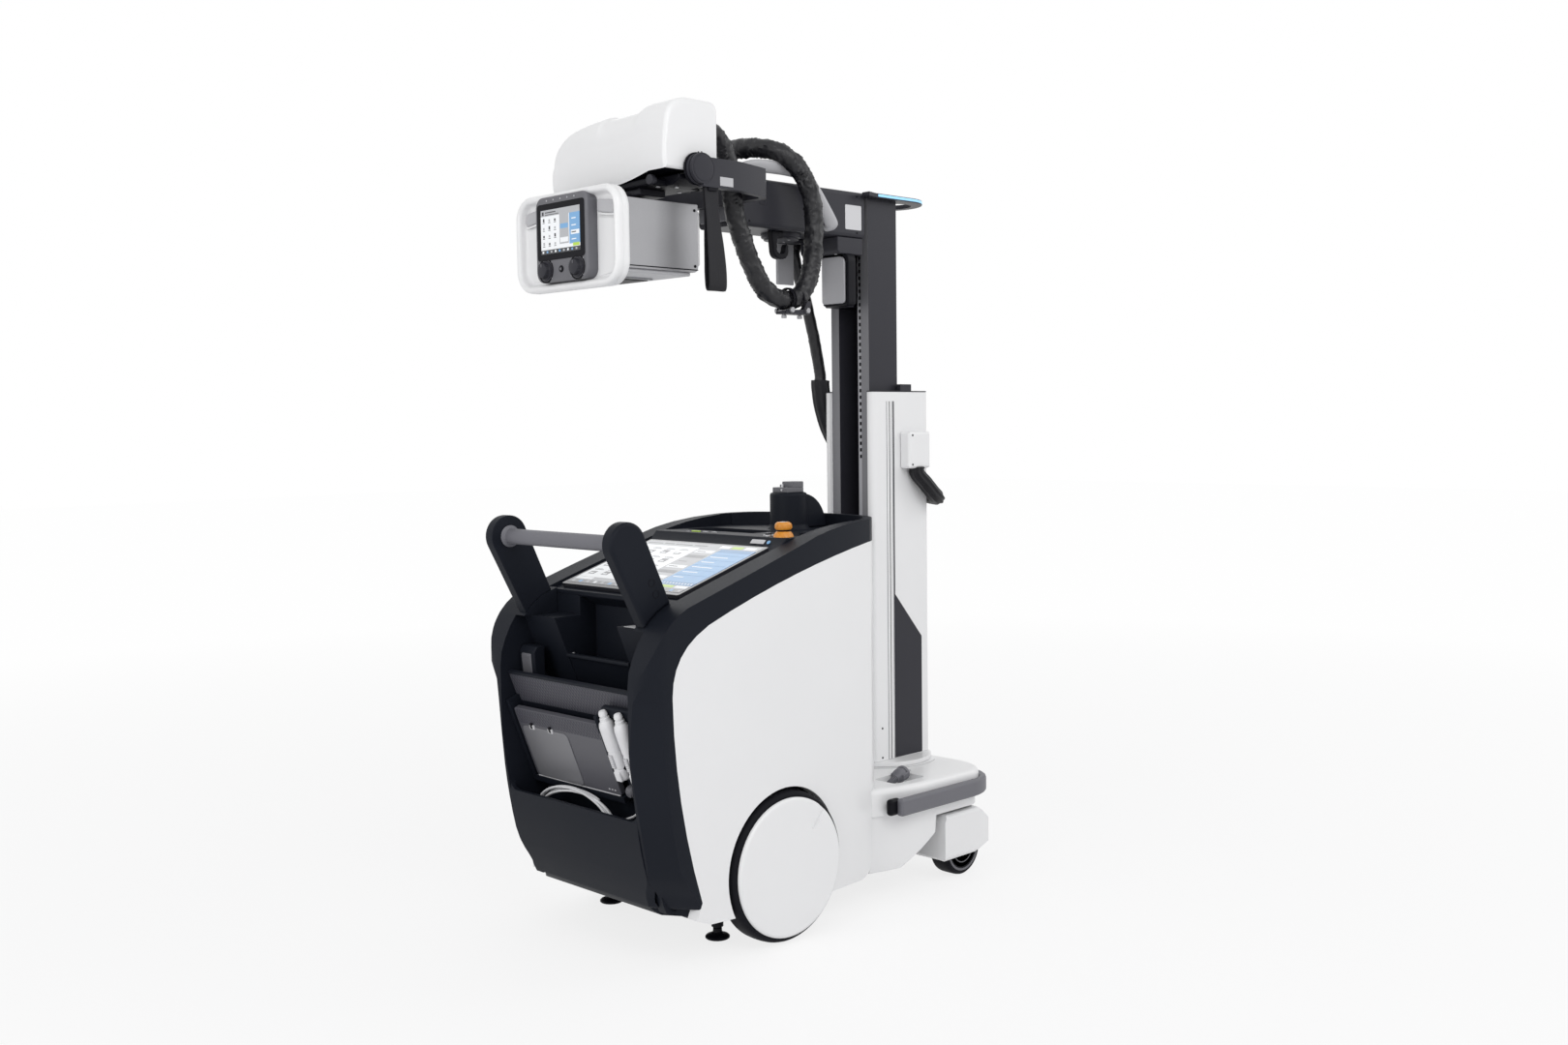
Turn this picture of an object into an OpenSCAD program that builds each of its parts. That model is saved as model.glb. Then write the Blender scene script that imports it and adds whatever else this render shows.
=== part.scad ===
/* [Cart body] */
// How far the drive wheels' discs stand proud of the side panels
wheel_proud = 12.5; // [10:0.5:14]
// Width of the dark shell between a side panel and the bin bay
shell_w = 60; // [54:1:64]
// How far each side draws in towards the bowed rear
rear_narrow = 45; // [38:1:52]
// Where the sides meet the bowed rear, behind the drive axle
rear_y = 297; // [285:1:305]
// Furthest reach of the bowed rear
bow_y = 400; // [370:1:415]
// Furthest reach of the body towards the operator
front_reach = 350; // [340:1:355]
// Height of the body at its rear rim
body_top = 832; // [815:1:845]
// Lowest edge of the operator's end
fascia_low = 108; // [100:1:120]
// Thickness of a side panel
panel_t = 28; // [20:1:32]
// Depth of the dark band above the white panel, at the rear
band_h = 52; // [44:1:60]
// Half the width of the top bin between its side blocks
bin_half = 100; // [94:1:106]
// Height of the pocket's lip at the operator's end
lip_z = 292; // [280:1:300]
// Thickness of the lower fascia
fascia_t = 10; // [6:1:14]
// Thickness of a moulded bin wall
bin_t = 7; // [5:0.5:9]
// Lean of the bins' walls towards the operator
bin_lean = 21; // [15:1:25]

/* [Screen and deck] */
// Length of the operator's screen along its slope
screen_l = 262; // [240:1:266]
// Width of the operator's screen
screen_w = 372; // [340:1:380]
// Thickness of the screen glass and its frame
screen_t = 9; // [6:1:12]
// Radius of the dock that holds the arm for driving
dock_r = 41; // [36:1:46]
// Top of the dock
dock_top = 880; // [870:1:888]
// Where the dock stands, behind the drive axle
dock_y = 275; // [265:1:285]

/* [Push handle] */
// Radius of the round bar
bar_r = 15.5; // [13:0.5:18]
// Height of the bar's centre
bar_z = 812; // [800:1:820]
// Reach of the bar's centre towards the operator
bar_reach = 338; // [330:1:342]
// Thickness of a handle ear
ear_t = 28; // [22:1:32]
// Radius of an ear's round top
ear_r = 42; // [38:1:44]

/* [Drive wheels] */
// Radius of a drive tyre
tyre_r = 152; // [145:1:155]
// Width of a drive tyre
tyre_w = 48; // [40:1:52]
// Radius of the white disc on a drive wheel
disc_r = 139; // [130:1:142]
// Overall width over both white discs
overall_w = 555; // [548:1:562]
// Gap round a tyre in its arch
arch_gap = 7; // [6:1:9]
// Radius of a drive axle stub
axle_r = 15; // [12:1:18]

/* [Base and casters] */
// Distance from the drive axle to the column's turning axis
column_y = 566; // [560:1:572]
// Height of the white deck round the column
deck_z = 245; // [240:1:250]
// Seam between the deck cover and the skirt
seam_z = 186; // [182:1:190]
// Furthest end of the bumper, from the drive axle
base_end = 690; // [680:1:700]
// Half the width of the bumper
bumper_half = 272; // [266:1:274]
// Height of the bumper band
bumper_h = 38; // [32:1:42]
// Distance from the drive axle to the casters' swivel axes
caster_y = 578; // [574:1:582]
// Distance of a caster's swivel axis from the middle
caster_x = 203; // [198:1:206]
// Radius of a caster wheel
caster_r = 62; // [56:1:64]
// Width of a caster wheel
caster_w = 50; // [44:1:54]
// How far a caster wheel trails its swivel axis
caster_trail = 18; // [14:1:22]

/* [Column] */
// Half the width of the outer column
column_half = 75; // [72:1:80]
// Depth of the outer column, front to back
column_d = 194; // [188:1:198]
// Top of the outer column
column_top = 1100; // [1080:5:1110]
// How deep the mast's face sits behind the column's front
mast_inset = 9; // [7:1:14]
// Half the width of the inner mast
mast_half = 58; // [54:1:58]
// Top of the inner mast, raised as in the picture
mast_top = 1532; // [1520:1:1540]
// How far the mast lowers into the column
mast_travel = 400; // [300:10:400]
// How far the carriage runs down the mast
carriage_travel = 440; // [400:10:450]
// Square holes' pitch along the lifting strip
strip_pitch = 15; // [14:1:20]

/* [Arm] */
// Half the width of the outer arm
arm_half = 60; // [56:1:62]
// Height of the outer arm
arm_h = 102; // [96:1:106]
// Height of the arm's centre below the mast's top
arm_drop = 40; // [38:1:44]
// Front end of the outer arm, behind the drive axle
arm_front = 78; // [74:1:84]
// How far the inner arm slides out
arm_travel = 280; // [200:10:290]

/* [Yoke and head] */
// Reach of the tilt axis in front of the drive axle
tilt_reach = 142; // [138:1:146]
// Height of the tilt axis above the arm's centre
tilt_rise = 23; // [20:1:25]
// Half the width of the yoke over its arms
yoke_half = 205; // [203:1:209]
// Thickness of the yoke's band
yoke_t = 16; // [12:1:17]
// Height of the yoke's band
yoke_h = 56; // [50:1:58]
// Back face of the yoke's crossbar
yoke_back = 70; // [68:1:72]
// Radius of a tilt pivot's disc
pivot_r = 28; // [25:1:30]
// Half the width of the white tube cover
cover_half = 180; // [176:1:182]
// Height of the white tube cover
cover_h = 154; // [146:1:160]
// Half the width of the collimator box
box_half = 145; // [138:1:148]
// Height of the collimator box
box_h = 131; // [124:1:136]
// Reach of the beam axis in front of the drive axle
beam_reach = 196; // [192:1:200]
// Half the width of the collimator's front grip
bezel_half = 162; // [156:1:165]
// Front face of the collimator's grip, from the drive axle
bezel_reach = 318; // [312:1:320]

/* [Hidden] */

$fn = 64;
slip = 0.3;
run_fit = 0.05;
front = -front_reach;
wheel_out = overall_w / 2;
body_half = wheel_out - wheel_proud;
bay_half = body_half - shell_w;
rear_half = body_half - rear_narrow;
ear_in = bay_half - ear_t;
frame_half = bay_half - 5;
spine_half = 90;
tray_half = bay_half - 25;
switch_x = bay_half - 31;
base_half = bumper_half - 20;
caster_top = 155;
shoulder_z = 648;
mid_y = (base_end - bar_reach - ear_r) / 2;
tyre_out = wheel_out - 9;
tyre_in = tyre_out - tyre_w;
arch_r = tyre_r + arch_gap;
column_front = column_y - column_d / 2;
column_back = column_y + column_d / 2;
mast_front = column_front + mast_inset;
mast_d = 95;
strip_x = 20;
mast_low = deck_z + 24 + mast_travel;
arm_z = mast_top - arm_drop;
arm_low = arm_z - arm_h / 2;
roll_z = arm_z + 8;
tilt_y = -tilt_reach;
tilt_z = arm_z + tilt_rise;
beam_y = -beam_reach;
box_top = tilt_z - 59;
box_low = box_top - box_h;
box_front = -bezel_reach + 32;
cover_low = box_top + 40;
cover_top = cover_low + cover_h;
cover_front = tilt_y - 75;
cover_back = tilt_y + 61;
white = [0.9, 0.9, 0.91];
dark = [0.18, 0.18, 0.21];
black = [0.05, 0.05, 0.06];
grey = [0.4, 0.4, 0.43];
steel = [0.6, 0.6, 0.62];
pale = [0.75, 0.75, 0.77];

function bez(a, b, c, n = 8) =
    [for (i = [0 : n]) let (t = i / n) (1 - t) * (1 - t) * a + 2 * t * (1 - t) * b + t * t * c];
function flipped(pts) = [for (i = [len(pts) - 1 : -1 : 0]) [-pts[i][0], pts[i][1]]];

// Half of the body's outline seen from above, from the front middle round to the rear middle
function half_plan(inset = 0) = concat(
    [[0, front + inset]],
    bez([body_half - 45 - inset, front + 1 + inset], [body_half - inset, front + 1 + inset],
        [body_half - inset, front + 48 + inset], 6),
    bez([body_half - inset, -180], [body_half + 4 - inset, 90], [rear_half - inset, rear_y - inset / 2], 8),
    bez([rear_half - 4 - inset, rear_y + 8 - inset], [rear_half * 0.72, bow_y - inset],
        [0, bow_y - inset], 8));
function plan(inset = 0) = concat(half_plan(inset), flipped(half_plan(inset)));

// Side view outlines, as points [y, z]
brow = [-250, 692];
shell_line = concat(
    bez([bow_y + 5, body_top - 4], [180, body_top + 2], [60, 790], 6),
    bez([50, 787], [-80, 748], brow, 6),
    bez(brow, [front + 32, 664], [front + 4, 575], 6),
    bez([front + 3, 565], [front - 12, 470], [front + 18, lip_z], 6),
    bez([front + 20, lip_z - 12], [front + 40, 160], [-283, fascia_low], 5));
panel_line = concat(
    bez([rear_y, body_top - band_h], [30, 748], [-200, 655], 8),
    bez([-205, 652], [-290, 612], [-291, 530], 6),
    bez([-291, 525], [-290, 330], [-226, 130], 6));
shell_shape = concat(shell_line, [[-262, 98], [bow_y + 5, 98]]);
panel_shape = concat(panel_line, [[-240, 98], [-205, 84], [150, 66], [rear_y - 35, 62],
    [rear_y - 12, 72], [rear_y, 95]]);

// Slanting cut of the operator's lower corners: reach along the diagonal, height
corner_cut = [[-900, 0], [330, 0], [334, 98], [345, 130], [358, 155], [378, 176], [394, 232], [414, 300],
    [425, 340], [600, 400], [600, 1000], [-900, 1000]];
corner_turn = 55.9;

module machine() translate([0, -mid_y, 0]) children();
module low_corner() rotate([0, 0, -corner_turn]) rotate([90, 0, 0])
    linear_extrude(1600, center = true) polygon(corner_cut);
module low_corners() intersection() {
    low_corner();
    mirror([1, 0, 0]) low_corner();
}
module both_sides() {
    children();
    mirror([1, 0, 0]) children();
}
module slab(x0, x1, pts) translate([x0, 0, 0]) rotate([90, 0, 90]) linear_extrude(x1 - x0) polygon(pts);
module along_x(x0, x1, y, z, r) translate([x0, y, z]) rotate([0, 90, 0]) cylinder(h = x1 - x0, r = r);
module block(lo, hi) translate(lo) cube(hi - lo);
module round_rect(w, h, r) {
    square([w - 2 * r, h], center = true);
    square([w, h - 2 * r], center = true);
    for (x = [-1, 1], y = [-1, 1]) translate([x * (w / 2 - r), y * (h / 2 - r)]) circle(r);
}
module round_block(lo, hi, r) {
    translate([(lo.x + hi.x) / 2, (lo.y + hi.y) / 2, lo.z])
        linear_extrude(hi.z - lo.z) round_rect(hi.x - lo.x, hi.y - lo.y, r);
}
module round_block_x(lo, hi, r) {
    translate([lo.x, (lo.y + hi.y) / 2, (lo.z + hi.z) / 2]) rotate([90, 0, 90])
        linear_extrude(hi.x - lo.x) round_rect(hi.y - lo.y, hi.z - lo.z, r);
}
module round_block_y(lo, hi, r) {
    translate([(lo.x + hi.x) / 2, hi.y, (lo.z + hi.z) / 2]) rotate([90, 0, 0])
        linear_extrude(hi.y - lo.y) round_rect(hi.x - lo.x, hi.z - lo.z, r);
}
module soft_block(lo, hi, rx, ry, rz) {
    intersection() {
        round_block_x(lo, hi, rx);
        round_block_y(lo, hi, ry);
        round_block(lo, hi, rz);
    }
}

// Tube swept along a route: a ring of points square to the route at each of its points
function unit(v) = v / norm(v);
function direction(p, i) = unit(p[min(i + 1, len(p) - 1)] - p[max(i - 1, 0)]);
function side_of(d) = unit(cross(d, abs(d.x) < 0.9 ? [1, 0, 0] : [0, 0, 1]));
function carried(p, i) = i == 0 ? side_of(direction(p, 0))
    : let (s = carried(p, i - 1), d = direction(p, i)) unit(s - (s * d) * d);
module tube(p, r, sides = 8, flat = 1) {
    rings = [for (i = [0 : len(p) - 1]) let (s = carried(p, i), t = cross(direction(p, i), s))
        for (k = [0 : sides - 1]) p[i] + r * cos(360 * k / sides) * s + r * flat * sin(360 * k / sides) * t];
    last = (len(p) - 1) * sides;
    walls = [for (i = [0 : len(p) - 2], k = [0 : sides - 1]) let (a = i * sides, next = (k + 1) % sides)
        [a + sides + k, a + sides + next, a + next, a + k]];
    polyhedron(rings, concat(walls, [[for (k = [0 : sides - 1]) k]],
        [[for (k = [sides - 1 : -1 : 0]) last + k]]), convexity = 6);
}

// Cart body
module wheel_room() both_sides() along_x(tyre_in - 10, body_half + 20, 0, tyre_r, arch_r);

module chassis() color(grey) difference() {
    union() {
        block([-frame_half, -200, 78], [frame_half, 236, 126]);
        block([-spine_half, 235, 78], [spine_half, column_y + 74, caster_top + 6]);
        block([-frame_half - 20, caster_y - 60, caster_top + 6], [frame_half + 20, caster_y + 50, seam_z]);
        block([-spine_half, rear_y + 10, 120], [spine_half, caster_y, seam_z]);
        both_sides() {
            along_x(frame_half - 1, tyre_in - 4, 0, tyre_r, 42);
            along_x(frame_half - 1, wheel_out - 12, 0, tyre_r, axle_r);
        }
    }
    both_sides() translate([caster_x, caster_y, 100]) cylinder(h = 200, r = 12 + run_fit);
    translate([0, column_y, 60]) cylinder(h = 200, r = 60 + run_fit);
}

module power_block() color(black)
    block([-tray_half, -150, 126], [tray_half, 235, shoulder_z - 8]);

module side_panels() color(white) both_sides() difference() {
    intersection() {
        slab(0, body_half + 10, panel_shape);
        linear_extrude(1000) difference() {
            polygon(plan());
            polygon(plan(panel_t));
        }
        block([0, -300, 0], [300, rear_y, 1000]);
    }
    wheel_room();
}

module side_trims() color(dark) difference() {
    intersection() {
        union() {
            slab(bay_half, body_half + 10, shell_shape);
            slab(-body_half - 10, -bay_half, shell_shape);
            both_sides() block([ear_in - 2, -330, shoulder_z], [bay_half + 1, -226, 800]);
            block([-300, rear_y - 28, 0], [300, bow_y + 10, 1000]);
        }
        slab(-300, 300, shell_shape);
        linear_extrude(1000) polygon(plan());
        low_corners();
    }
    difference() {
        slab(-400, 400, concat(panel_line, [[-240, 98], [-240, 80],
            [bow_y + 60, 80], [bow_y + 60, body_top - band_h]]));
        intersection() {
            slab(-400, 400, shell_shape);
            linear_extrude(1000) polygon(plan(panel_t));
            block([-400, -400, 90], [400, -165, 900]);
        }
    }
    intersection() {
        linear_extrude(1000) polygon(plan(16));
        block([-bay_half, -225, 0], [bay_half, 500, 1000]);
    }
    intersection() {
        linear_extrude(1000) polygon(plan(16));
        block([-300, rear_y - 40, 0], [300, 500, 1000]);
    }
    wheel_room();
}

module rear_panel() color(white) intersection() {
    linear_extrude(body_top - band_h) difference() {
        polygon(plan());
        polygon(plan(16));
    }
    block([-300, rear_y, deck_z], [300, 500, body_top]);
}

module fascia() color(dark) {
    intersection() {
        slab(-bay_half, bay_half, concat(
            bez([front + 18, lip_z], [front + 22, 240], [front + 40, 180], 4),
            bez([front + 41, 176], [front + 52, 140], [-283, fascia_low], 4),
            [[-262, 98], [-205, 98], [-205, 112], [-272, 112], [-284, 130], [-300, 180], [-318, 240],
                [front + 18 + fascia_t, lip_z]]));
        linear_extrude(1000) polygon(plan());
        low_corners();
    }
}

// Bins, each leaning towards the operator
module leaning(y, z0, z1, x0, x1, t) {
    back = y - (z1 - z0) * tan(bin_lean);
    slab(x0, x1, [[y, z0], [back, z1], [back + t, z1], [y + t, z0]]);
}

module bin_rack() color(dark) {
    difference() {
        slab(-bay_half, bay_half, [[-205, 126], [-205, 440], [-225, 440], [-225, 688], [-172, 660],
            [-172, 640], [-150, 640], [-150, 126]]);
        block([-bin_half, -300, 470], [bin_half, -184, 800]);
    }
    leaning(-240, 300, 536, -bay_half, bay_half, bin_t);
    slab(-bay_half, bay_half, [[-240, 112], [-240, 300], [-240 + bin_t, 300], [-205, 260], [-205, 112]]);
    leaning(-205, 440, 572, -bin_half, bin_half, bin_t);
    both_sides() slab(bin_half, bay_half, [[-205, 440], [-289, shoulder_z], [-200, shoulder_z], [-200, 440]]);
    in_bay() {
        block([-bay_half + 1, -30, 12], [bin_half - 4, 1, 24]);
        block([-bay_half + 1, -30, 12], [-bay_half + 11, 1, 200]);
        block([bin_half - 8, -30, 60], [bin_half - 4, 1, 190]);
    }
}
module in_bay() translate([0, -240, 300]) rotate([bin_lean, 0, 0]) children();

module detector() color(grey) in_bay() 
    round_block_y([-bay_half + 15, -27, 24], [bin_half - 12, -14, 184], 6);

module switch_holder() color(dark) in_bay()
    block([bin_half + 7, -16, 30], [bay_half - 5, -0.1, 200]);

module hand_switches() color(white)
    for (x = [switch_x - 46, switch_x]) in_bay() translate([x, -29.3, 72]) {
        cylinder(h = 118, r = 13);
        translate([0, 0, 118]) cylinder(h = 14, r1 = 13, r2 = 8);
        translate([0, 0, 132]) cylinder(h = 10, r = 7);
    }

module ear_shape() {
    ear_foot = [-268, 668];
    hull() {
        translate([-bar_reach, bar_z]) circle(ear_r, $fn = 48);
        translate(ear_foot) circle(38, $fn = 48);
    }
}
module handle_ears() color(dark) both_sides() difference() {
    translate([ear_in, 0, 0]) rotate([90, 0, 90]) linear_extrude(ear_t) ear_shape();
    slab(0, 400, concat(shell_line, [[-300, 90], [600, 90]]));
}
module handle_bar() color(grey) along_x(-ear_in, ear_in, -bar_reach, bar_z, bar_r);

// Console
deck_top = 800;
screen_foot = [-208, 697];
screen_tilt = 17.5;
module console_deck() color(dark) difference() {
    intersection() {
        slab(-bay_half, bay_half, [[-225, 688], [-225, 697], screen_foot,
            screen_foot + screen_l * [cos(screen_tilt), sin(screen_tilt)],
            [66, deck_top], [bow_y - 17, deck_top], [bow_y - 17, 784], [226, 784], [214, 750],
            [60, 700], [-172, 660]]);
        linear_extrude(1000) polygon(plan(16));
    }
    round_block([-tray_half, 126, deck_top - 25], [tray_half, 205, 900], 20);
}
module screen() color([0.6, 0.7, 0.8])
    translate([0, screen_foot[0], screen_foot[1]]) rotate([screen_tilt, 0, 0])
        block([-screen_w / 2, 4, 0.02], [screen_w / 2, screen_l - 4, screen_t]);
module dock() color(dark) {
    translate([0, dock_y, deck_top]) cylinder(h = dock_top - deck_top, r = dock_r);
    intersection() {
        translate([-12, dock_y + 34, deck_top]) rotate([90, 0, 90]) linear_extrude(24) circle(66);
        block([-12, dock_y + 34, deck_top], [12, bow_y - 18, 900]);
    }
    block([-24, dock_y - 26, dock_top], [24, dock_y + 24, dock_top + 12]);
    block([-10, dock_y - 10, dock_top + 12], [24, dock_y + 24, dock_top + 24]);
}
module console_controls() color([0.9, 0.5, 0.1]) translate([switch_x - 2, 90, deck_top]) {
    cylinder(h = 12, r1 = 17, r2 = 10);
    translate([0, 0, 12]) cylinder(h = 14, r1 = 12, r2 = 14);
}

// Base
function base_side(inset, start, end) = concat(
    [[rear_half - inset, start]],
    bez([rear_half + 3 - inset, rear_y + 10], [base_half - 8 - inset, rear_y + 63],
        [base_half - inset, 430], 5),
    bez([base_half - inset, caster_y + 30], [base_half - 8 - inset, end - inset], [150, end - inset], 8));
module base_plan(inset, start, end)
    polygon(concat(base_side(inset, start, end), flipped(base_side(inset, start, end))));
module base_cover() color(white) difference() {
    translate([0, 0, seam_z]) linear_extrude(deck_z - seam_z) base_plan(0, rear_y, base_end - 22);
    translate([0, column_y, 60]) cylinder(h = 300, r = 60 + 1);
    round_block([150, 380, 215], [215, 480, 300], 12);
}
// Skirt, arched over the casters
skirt_arch = [[rear_y - 20, 50], [rear_y - 20, 61], [375, 64], [457, 109], [480, 123], [484, caster_top + 6],
    [750, caster_top + 6], [750, 50]];
module base_skirt() color(white) difference() {
    translate([0, 0, 50]) linear_extrude(seam_z - 50) difference() {
        base_plan(8, rear_y, base_end - 22);
        base_plan(16, rear_y - 10, base_end - 22);
    }
    both_sides() slab(spine_half + 4, 400, skirt_arch);
    block([-400, caster_y + 22, 40], [400, 800, 120]);
}
module bumper() color(grey) difference() {
    translate([0, 0, seam_z + 2]) linear_extrude(bumper_h) polygon(concat(
        [[-bumper_half, 338], [bumper_half, 338]],
        bez([bumper_half, caster_y + 8], [bumper_half - 4, base_end], [150, base_end], 8),
        bez([-150, base_end], [-bumper_half + 4, base_end], [-bumper_half, caster_y + 8], 8)));
    translate([0, 0, seam_z - 5]) linear_extrude(bumper_h + 20)
        base_plan(-slip, rear_y, base_end - 22 + slip);
    block([-base_half - slip, 300, 100], [base_half + slip, 500, 300]);
}
module mains_plug() color(grey) translate([bay_half - 22, 445, 215]) {
    round_block([-17, -26, 0], [17, 22, 34], 8);
    translate([0, -26, 17]) rotate([90, 0, 0]) cylinder(h = 22, r1 = 9, r2 = 5);
}
module levelling_feet() color(black) both_sides() translate([170, -105, 0]) {
    translate([0, 0, 12]) cylinder(h = 14, r1 = 24, r2 = 9);
    translate([0, 0, 26]) cylinder(h = 52, r = 7);
}

// Wheels
module tyre() color(black) translate([tyre_in, 0, tyre_r]) rotate([0, 90, 0]) difference() {
    rotate_extrude() translate([0, 0]) polygon(concat(
        [[118, 0], [tyre_r - 10, 0]], bez([tyre_r - 4, 4], [tyre_r, 8], [tyre_r, 16], 3),
        bez([tyre_r, tyre_w - 16], [tyre_r, tyre_w - 6], [tyre_r - 8, tyre_w], 3), [[118, tyre_w]]));
}
module disc() color(white) translate([tyre_in, 0, tyre_r]) rotate([0, 90, 0]) difference() {
    rotate_extrude() polygon([[0, 4], [118, 4], [118, tyre_w], [disc_r, tyre_w],
        [disc_r, tyre_w + 4], [disc_r - 5, tyre_w + 9], [0, tyre_w + 9]]);
    translate([0, 0, -1]) cylinder(h = tyre_w - 2, r = axle_r + run_fit);
}
module tyre_right() tyre();
module disc_right() disc();
module tyre_left() mirror([1, 0, 0]) tyre();
module disc_left() mirror([1, 0, 0]) disc();

module caster_cover() color(white) translate([caster_x, caster_y, 0]) difference() {
    union() {
        intersection() {
            round_block_y([-50, -75, 50], [50, 79, caster_top], 14);
            slab(-60, 60, [[-75, 58], [-75, 142], [-62, caster_top], [48, caster_top], [79, 126], [79, 72],
                [33, 54], [-66, 50]]);
        }
        cylinder(h = seam_z - 5, r = 12);
    }
    slab(-caster_w / 2 - 6, caster_w / 2 + 6, [for (a = [0 : 10 : 350])
        [caster_trail + (caster_r + 7) * cos(a), caster_r + (caster_r + 7) * sin(a)]]);
    block([-caster_w / 2 - 6, -67, 0], [caster_w / 2 + 6, 66, caster_r]);
}
module caster_axle() along_x(caster_x - 45, caster_x + 45, caster_y + caster_trail, caster_r, 8);
module caster_wheel() color(black) translate([caster_x, caster_y + caster_trail, caster_r])
    rotate([0, 90, 0]) difference() {
        translate([0, 0, -caster_w / 2]) rotate_extrude() polygon([[0, 0], [caster_r - 6, 0],
            [caster_r, 6], [caster_r, caster_w - 6], [caster_r - 6, caster_w], [0, caster_w]]);
        translate([0, 0, -50]) cylinder(h = 100, r = 8 + run_fit);
    }
module caster_cover_right() {
    caster_cover();
    color(white) caster_axle();
}
module caster_wheel_right() caster_wheel();
module caster_cover_left() mirror([1, 0, 0]) {
    caster_cover();
    color(white) caster_axle();
}
module caster_wheel_left() mirror([1, 0, 0]) caster_wheel();

// Column
module turntable() color(white) {
    translate([0, column_y, deck_z + slip]) cylinder(h = 10, r = 122);
    translate([0, column_y, 90]) cylinder(h = deck_z - 80, r = 60);
}
module outer_column() color(white) difference() {
    translate([0, column_y, deck_z + slip + 10]) linear_extrude(column_top - deck_z - 10)
        round_rect(2 * column_half, column_d, 12);
    block([-mast_half - slip, column_front - 1, deck_z + slip + 18],
        [mast_half + slip, column_back - 20, column_top + 50]);
}
module column_strips() color(grey) {
    block([column_half, column_front + 45, deck_z + 12], [column_half + 2, column_front + 72, column_top - 20]);
    slab(column_half, column_half + 1.5, [[column_front + 72, deck_z + 12], [column_front + 164, deck_z + 12],
        [column_front + 164, 531], [column_front + 72, 637]]);
    translate([0, column_y, column_top + slip]) linear_extrude(2.5) difference() {
        round_rect(2 * column_half, column_d, 12);
        translate([-mast_half - slip, -column_d / 2 - 1]) square([2 * (mast_half + slip), column_d - 19]);
    }
    block([mast_half + 5, column_y, column_top + 2], [column_half - 1, column_y + 38, column_top + 18]);
}
module cable_box() color(white) {
    soft_block([column_half, column_y - 6, column_top - 175],
        [column_half + 32, column_y + 68, column_top - 90], 8, 8, 8);
    translate([0, column_back, column_top - 60]) rotate([-90, 0, 0]) rotate_extrude()
        polygon(concat([[0, 0]], [for (a = [0 : 15 : 90]) [22 * cos(a), 14 * sin(a)]]));
}

// Mast
module inner_mast() color(dark) difference() {
    block([-mast_half, mast_front, mast_low], [mast_half, mast_front + mast_d, mast_top]);
    block([-mast_half + 24, mast_front - 1, mast_low - 1], [mast_half - 24, mast_front + 60, mast_top + 1]);
}
module lift_strip() color(grey) {
    difference() {
        block([strip_x - 10.5, mast_front + 16, mast_low + 10],
            [strip_x + 10.5, mast_front + 19, mast_top - 10]);
        for (z = [column_top - 150 : strip_pitch : mast_top - 44])
            block([strip_x - 4, mast_front + 10, z], [strip_x + 4, mast_front + 30, z + strip_pitch - 7]);
    }
    for (z = [mast_low + 10, mast_top - 30])
        block([strip_x - 12, mast_front + 19, z], [strip_x + 12, mast_front + 60, z + 20]);
}
module lamp_ring() color(dark) translate([0, 0, mast_top]) linear_extrude(10) difference() {
    union() {
        polygon([[-89, mast_front - 28], [89, mast_front - 28], [80, mast_front + 6], [80, base_end - 80],
            [-80, base_end - 80], [-80, mast_front + 6]]);
        translate([0, base_end - 80]) circle(80);
    }
    translate([-arm_half - 6, mast_front - 40]) square([2 * arm_half + 12, 36]);
    translate([0, base_end - 68]) circle(46);
}

// Carriage and arm
carriage_low = arm_low - 150;
module carriage() color(dark) {
    block([-arm_half + 2, column_front - 90, arm_low - 36], [arm_half - 2, column_front - 8, arm_low]);
    block([-8, column_front - 64, carriage_low], [62, column_front - 38, arm_low - 36]);
    block([-32, column_front - 38, carriage_low], [30, column_front - 8, arm_low - 36]);
    block([-mast_half + 24 + slip, column_front - 9, carriage_low], [4, mast_front + 40, arm_low - 10]);
    block([-arm_half - 16, 318, arm_low - 101], [-arm_half - 10, 370, arm_low]);
    block([-arm_half - 10, 318, arm_low - 8], [-arm_half + 20, 370, arm_low]);
    translate([0, 262, arm_low - 14]) cylinder(h = 14, r = 44);
}
module arm_outer() color(dark) difference() {
    round_block_y([-arm_half, arm_front, arm_low], [arm_half, column_front - 4, arm_low + arm_h], 10);
    round_block_y([-arm_half + 10, arm_front - 1, arm_low + 10],
        [arm_half - 10, column_front - 30, arm_low + arm_h - 10], 6);
}
function lifted(pts) = [for (p = pts) p + [0, 0, arm_z - 1492]];
grab_route = lifted([[50, 96, 1543], [50, 96, 1550], [54, 102, 1559], [64, 120, 1564], [76, 150, 1565],
    [78, 200, 1565], [78, 236, 1563], [78, 262, 1552], [78, 290, 1522], [78, 320, 1486],
    [78, 336, 1468], [76, 342, 1460], [70, 344, 1458], [60, 344, 1458]]);
module grab_rod() color(pale) tube(grab_route, 13, 12, 0.7);
module arm_inner() color(grey) difference() {
    round_block_y([-arm_half + 10 + slip, yoke_back + slip, arm_low + 10 + slip],
        [arm_half - 10 - slip, arm_front + arm_travel + 70, arm_low + arm_h - 10 - slip], 6);
    roll_pin(-1, 60, run_fit);
}
module roll_pin(from, length, fit)
    translate([0, yoke_back + from, roll_z]) rotate([-90, 0, 0]) cylinder(h = length, r = 18 + fit);

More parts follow.
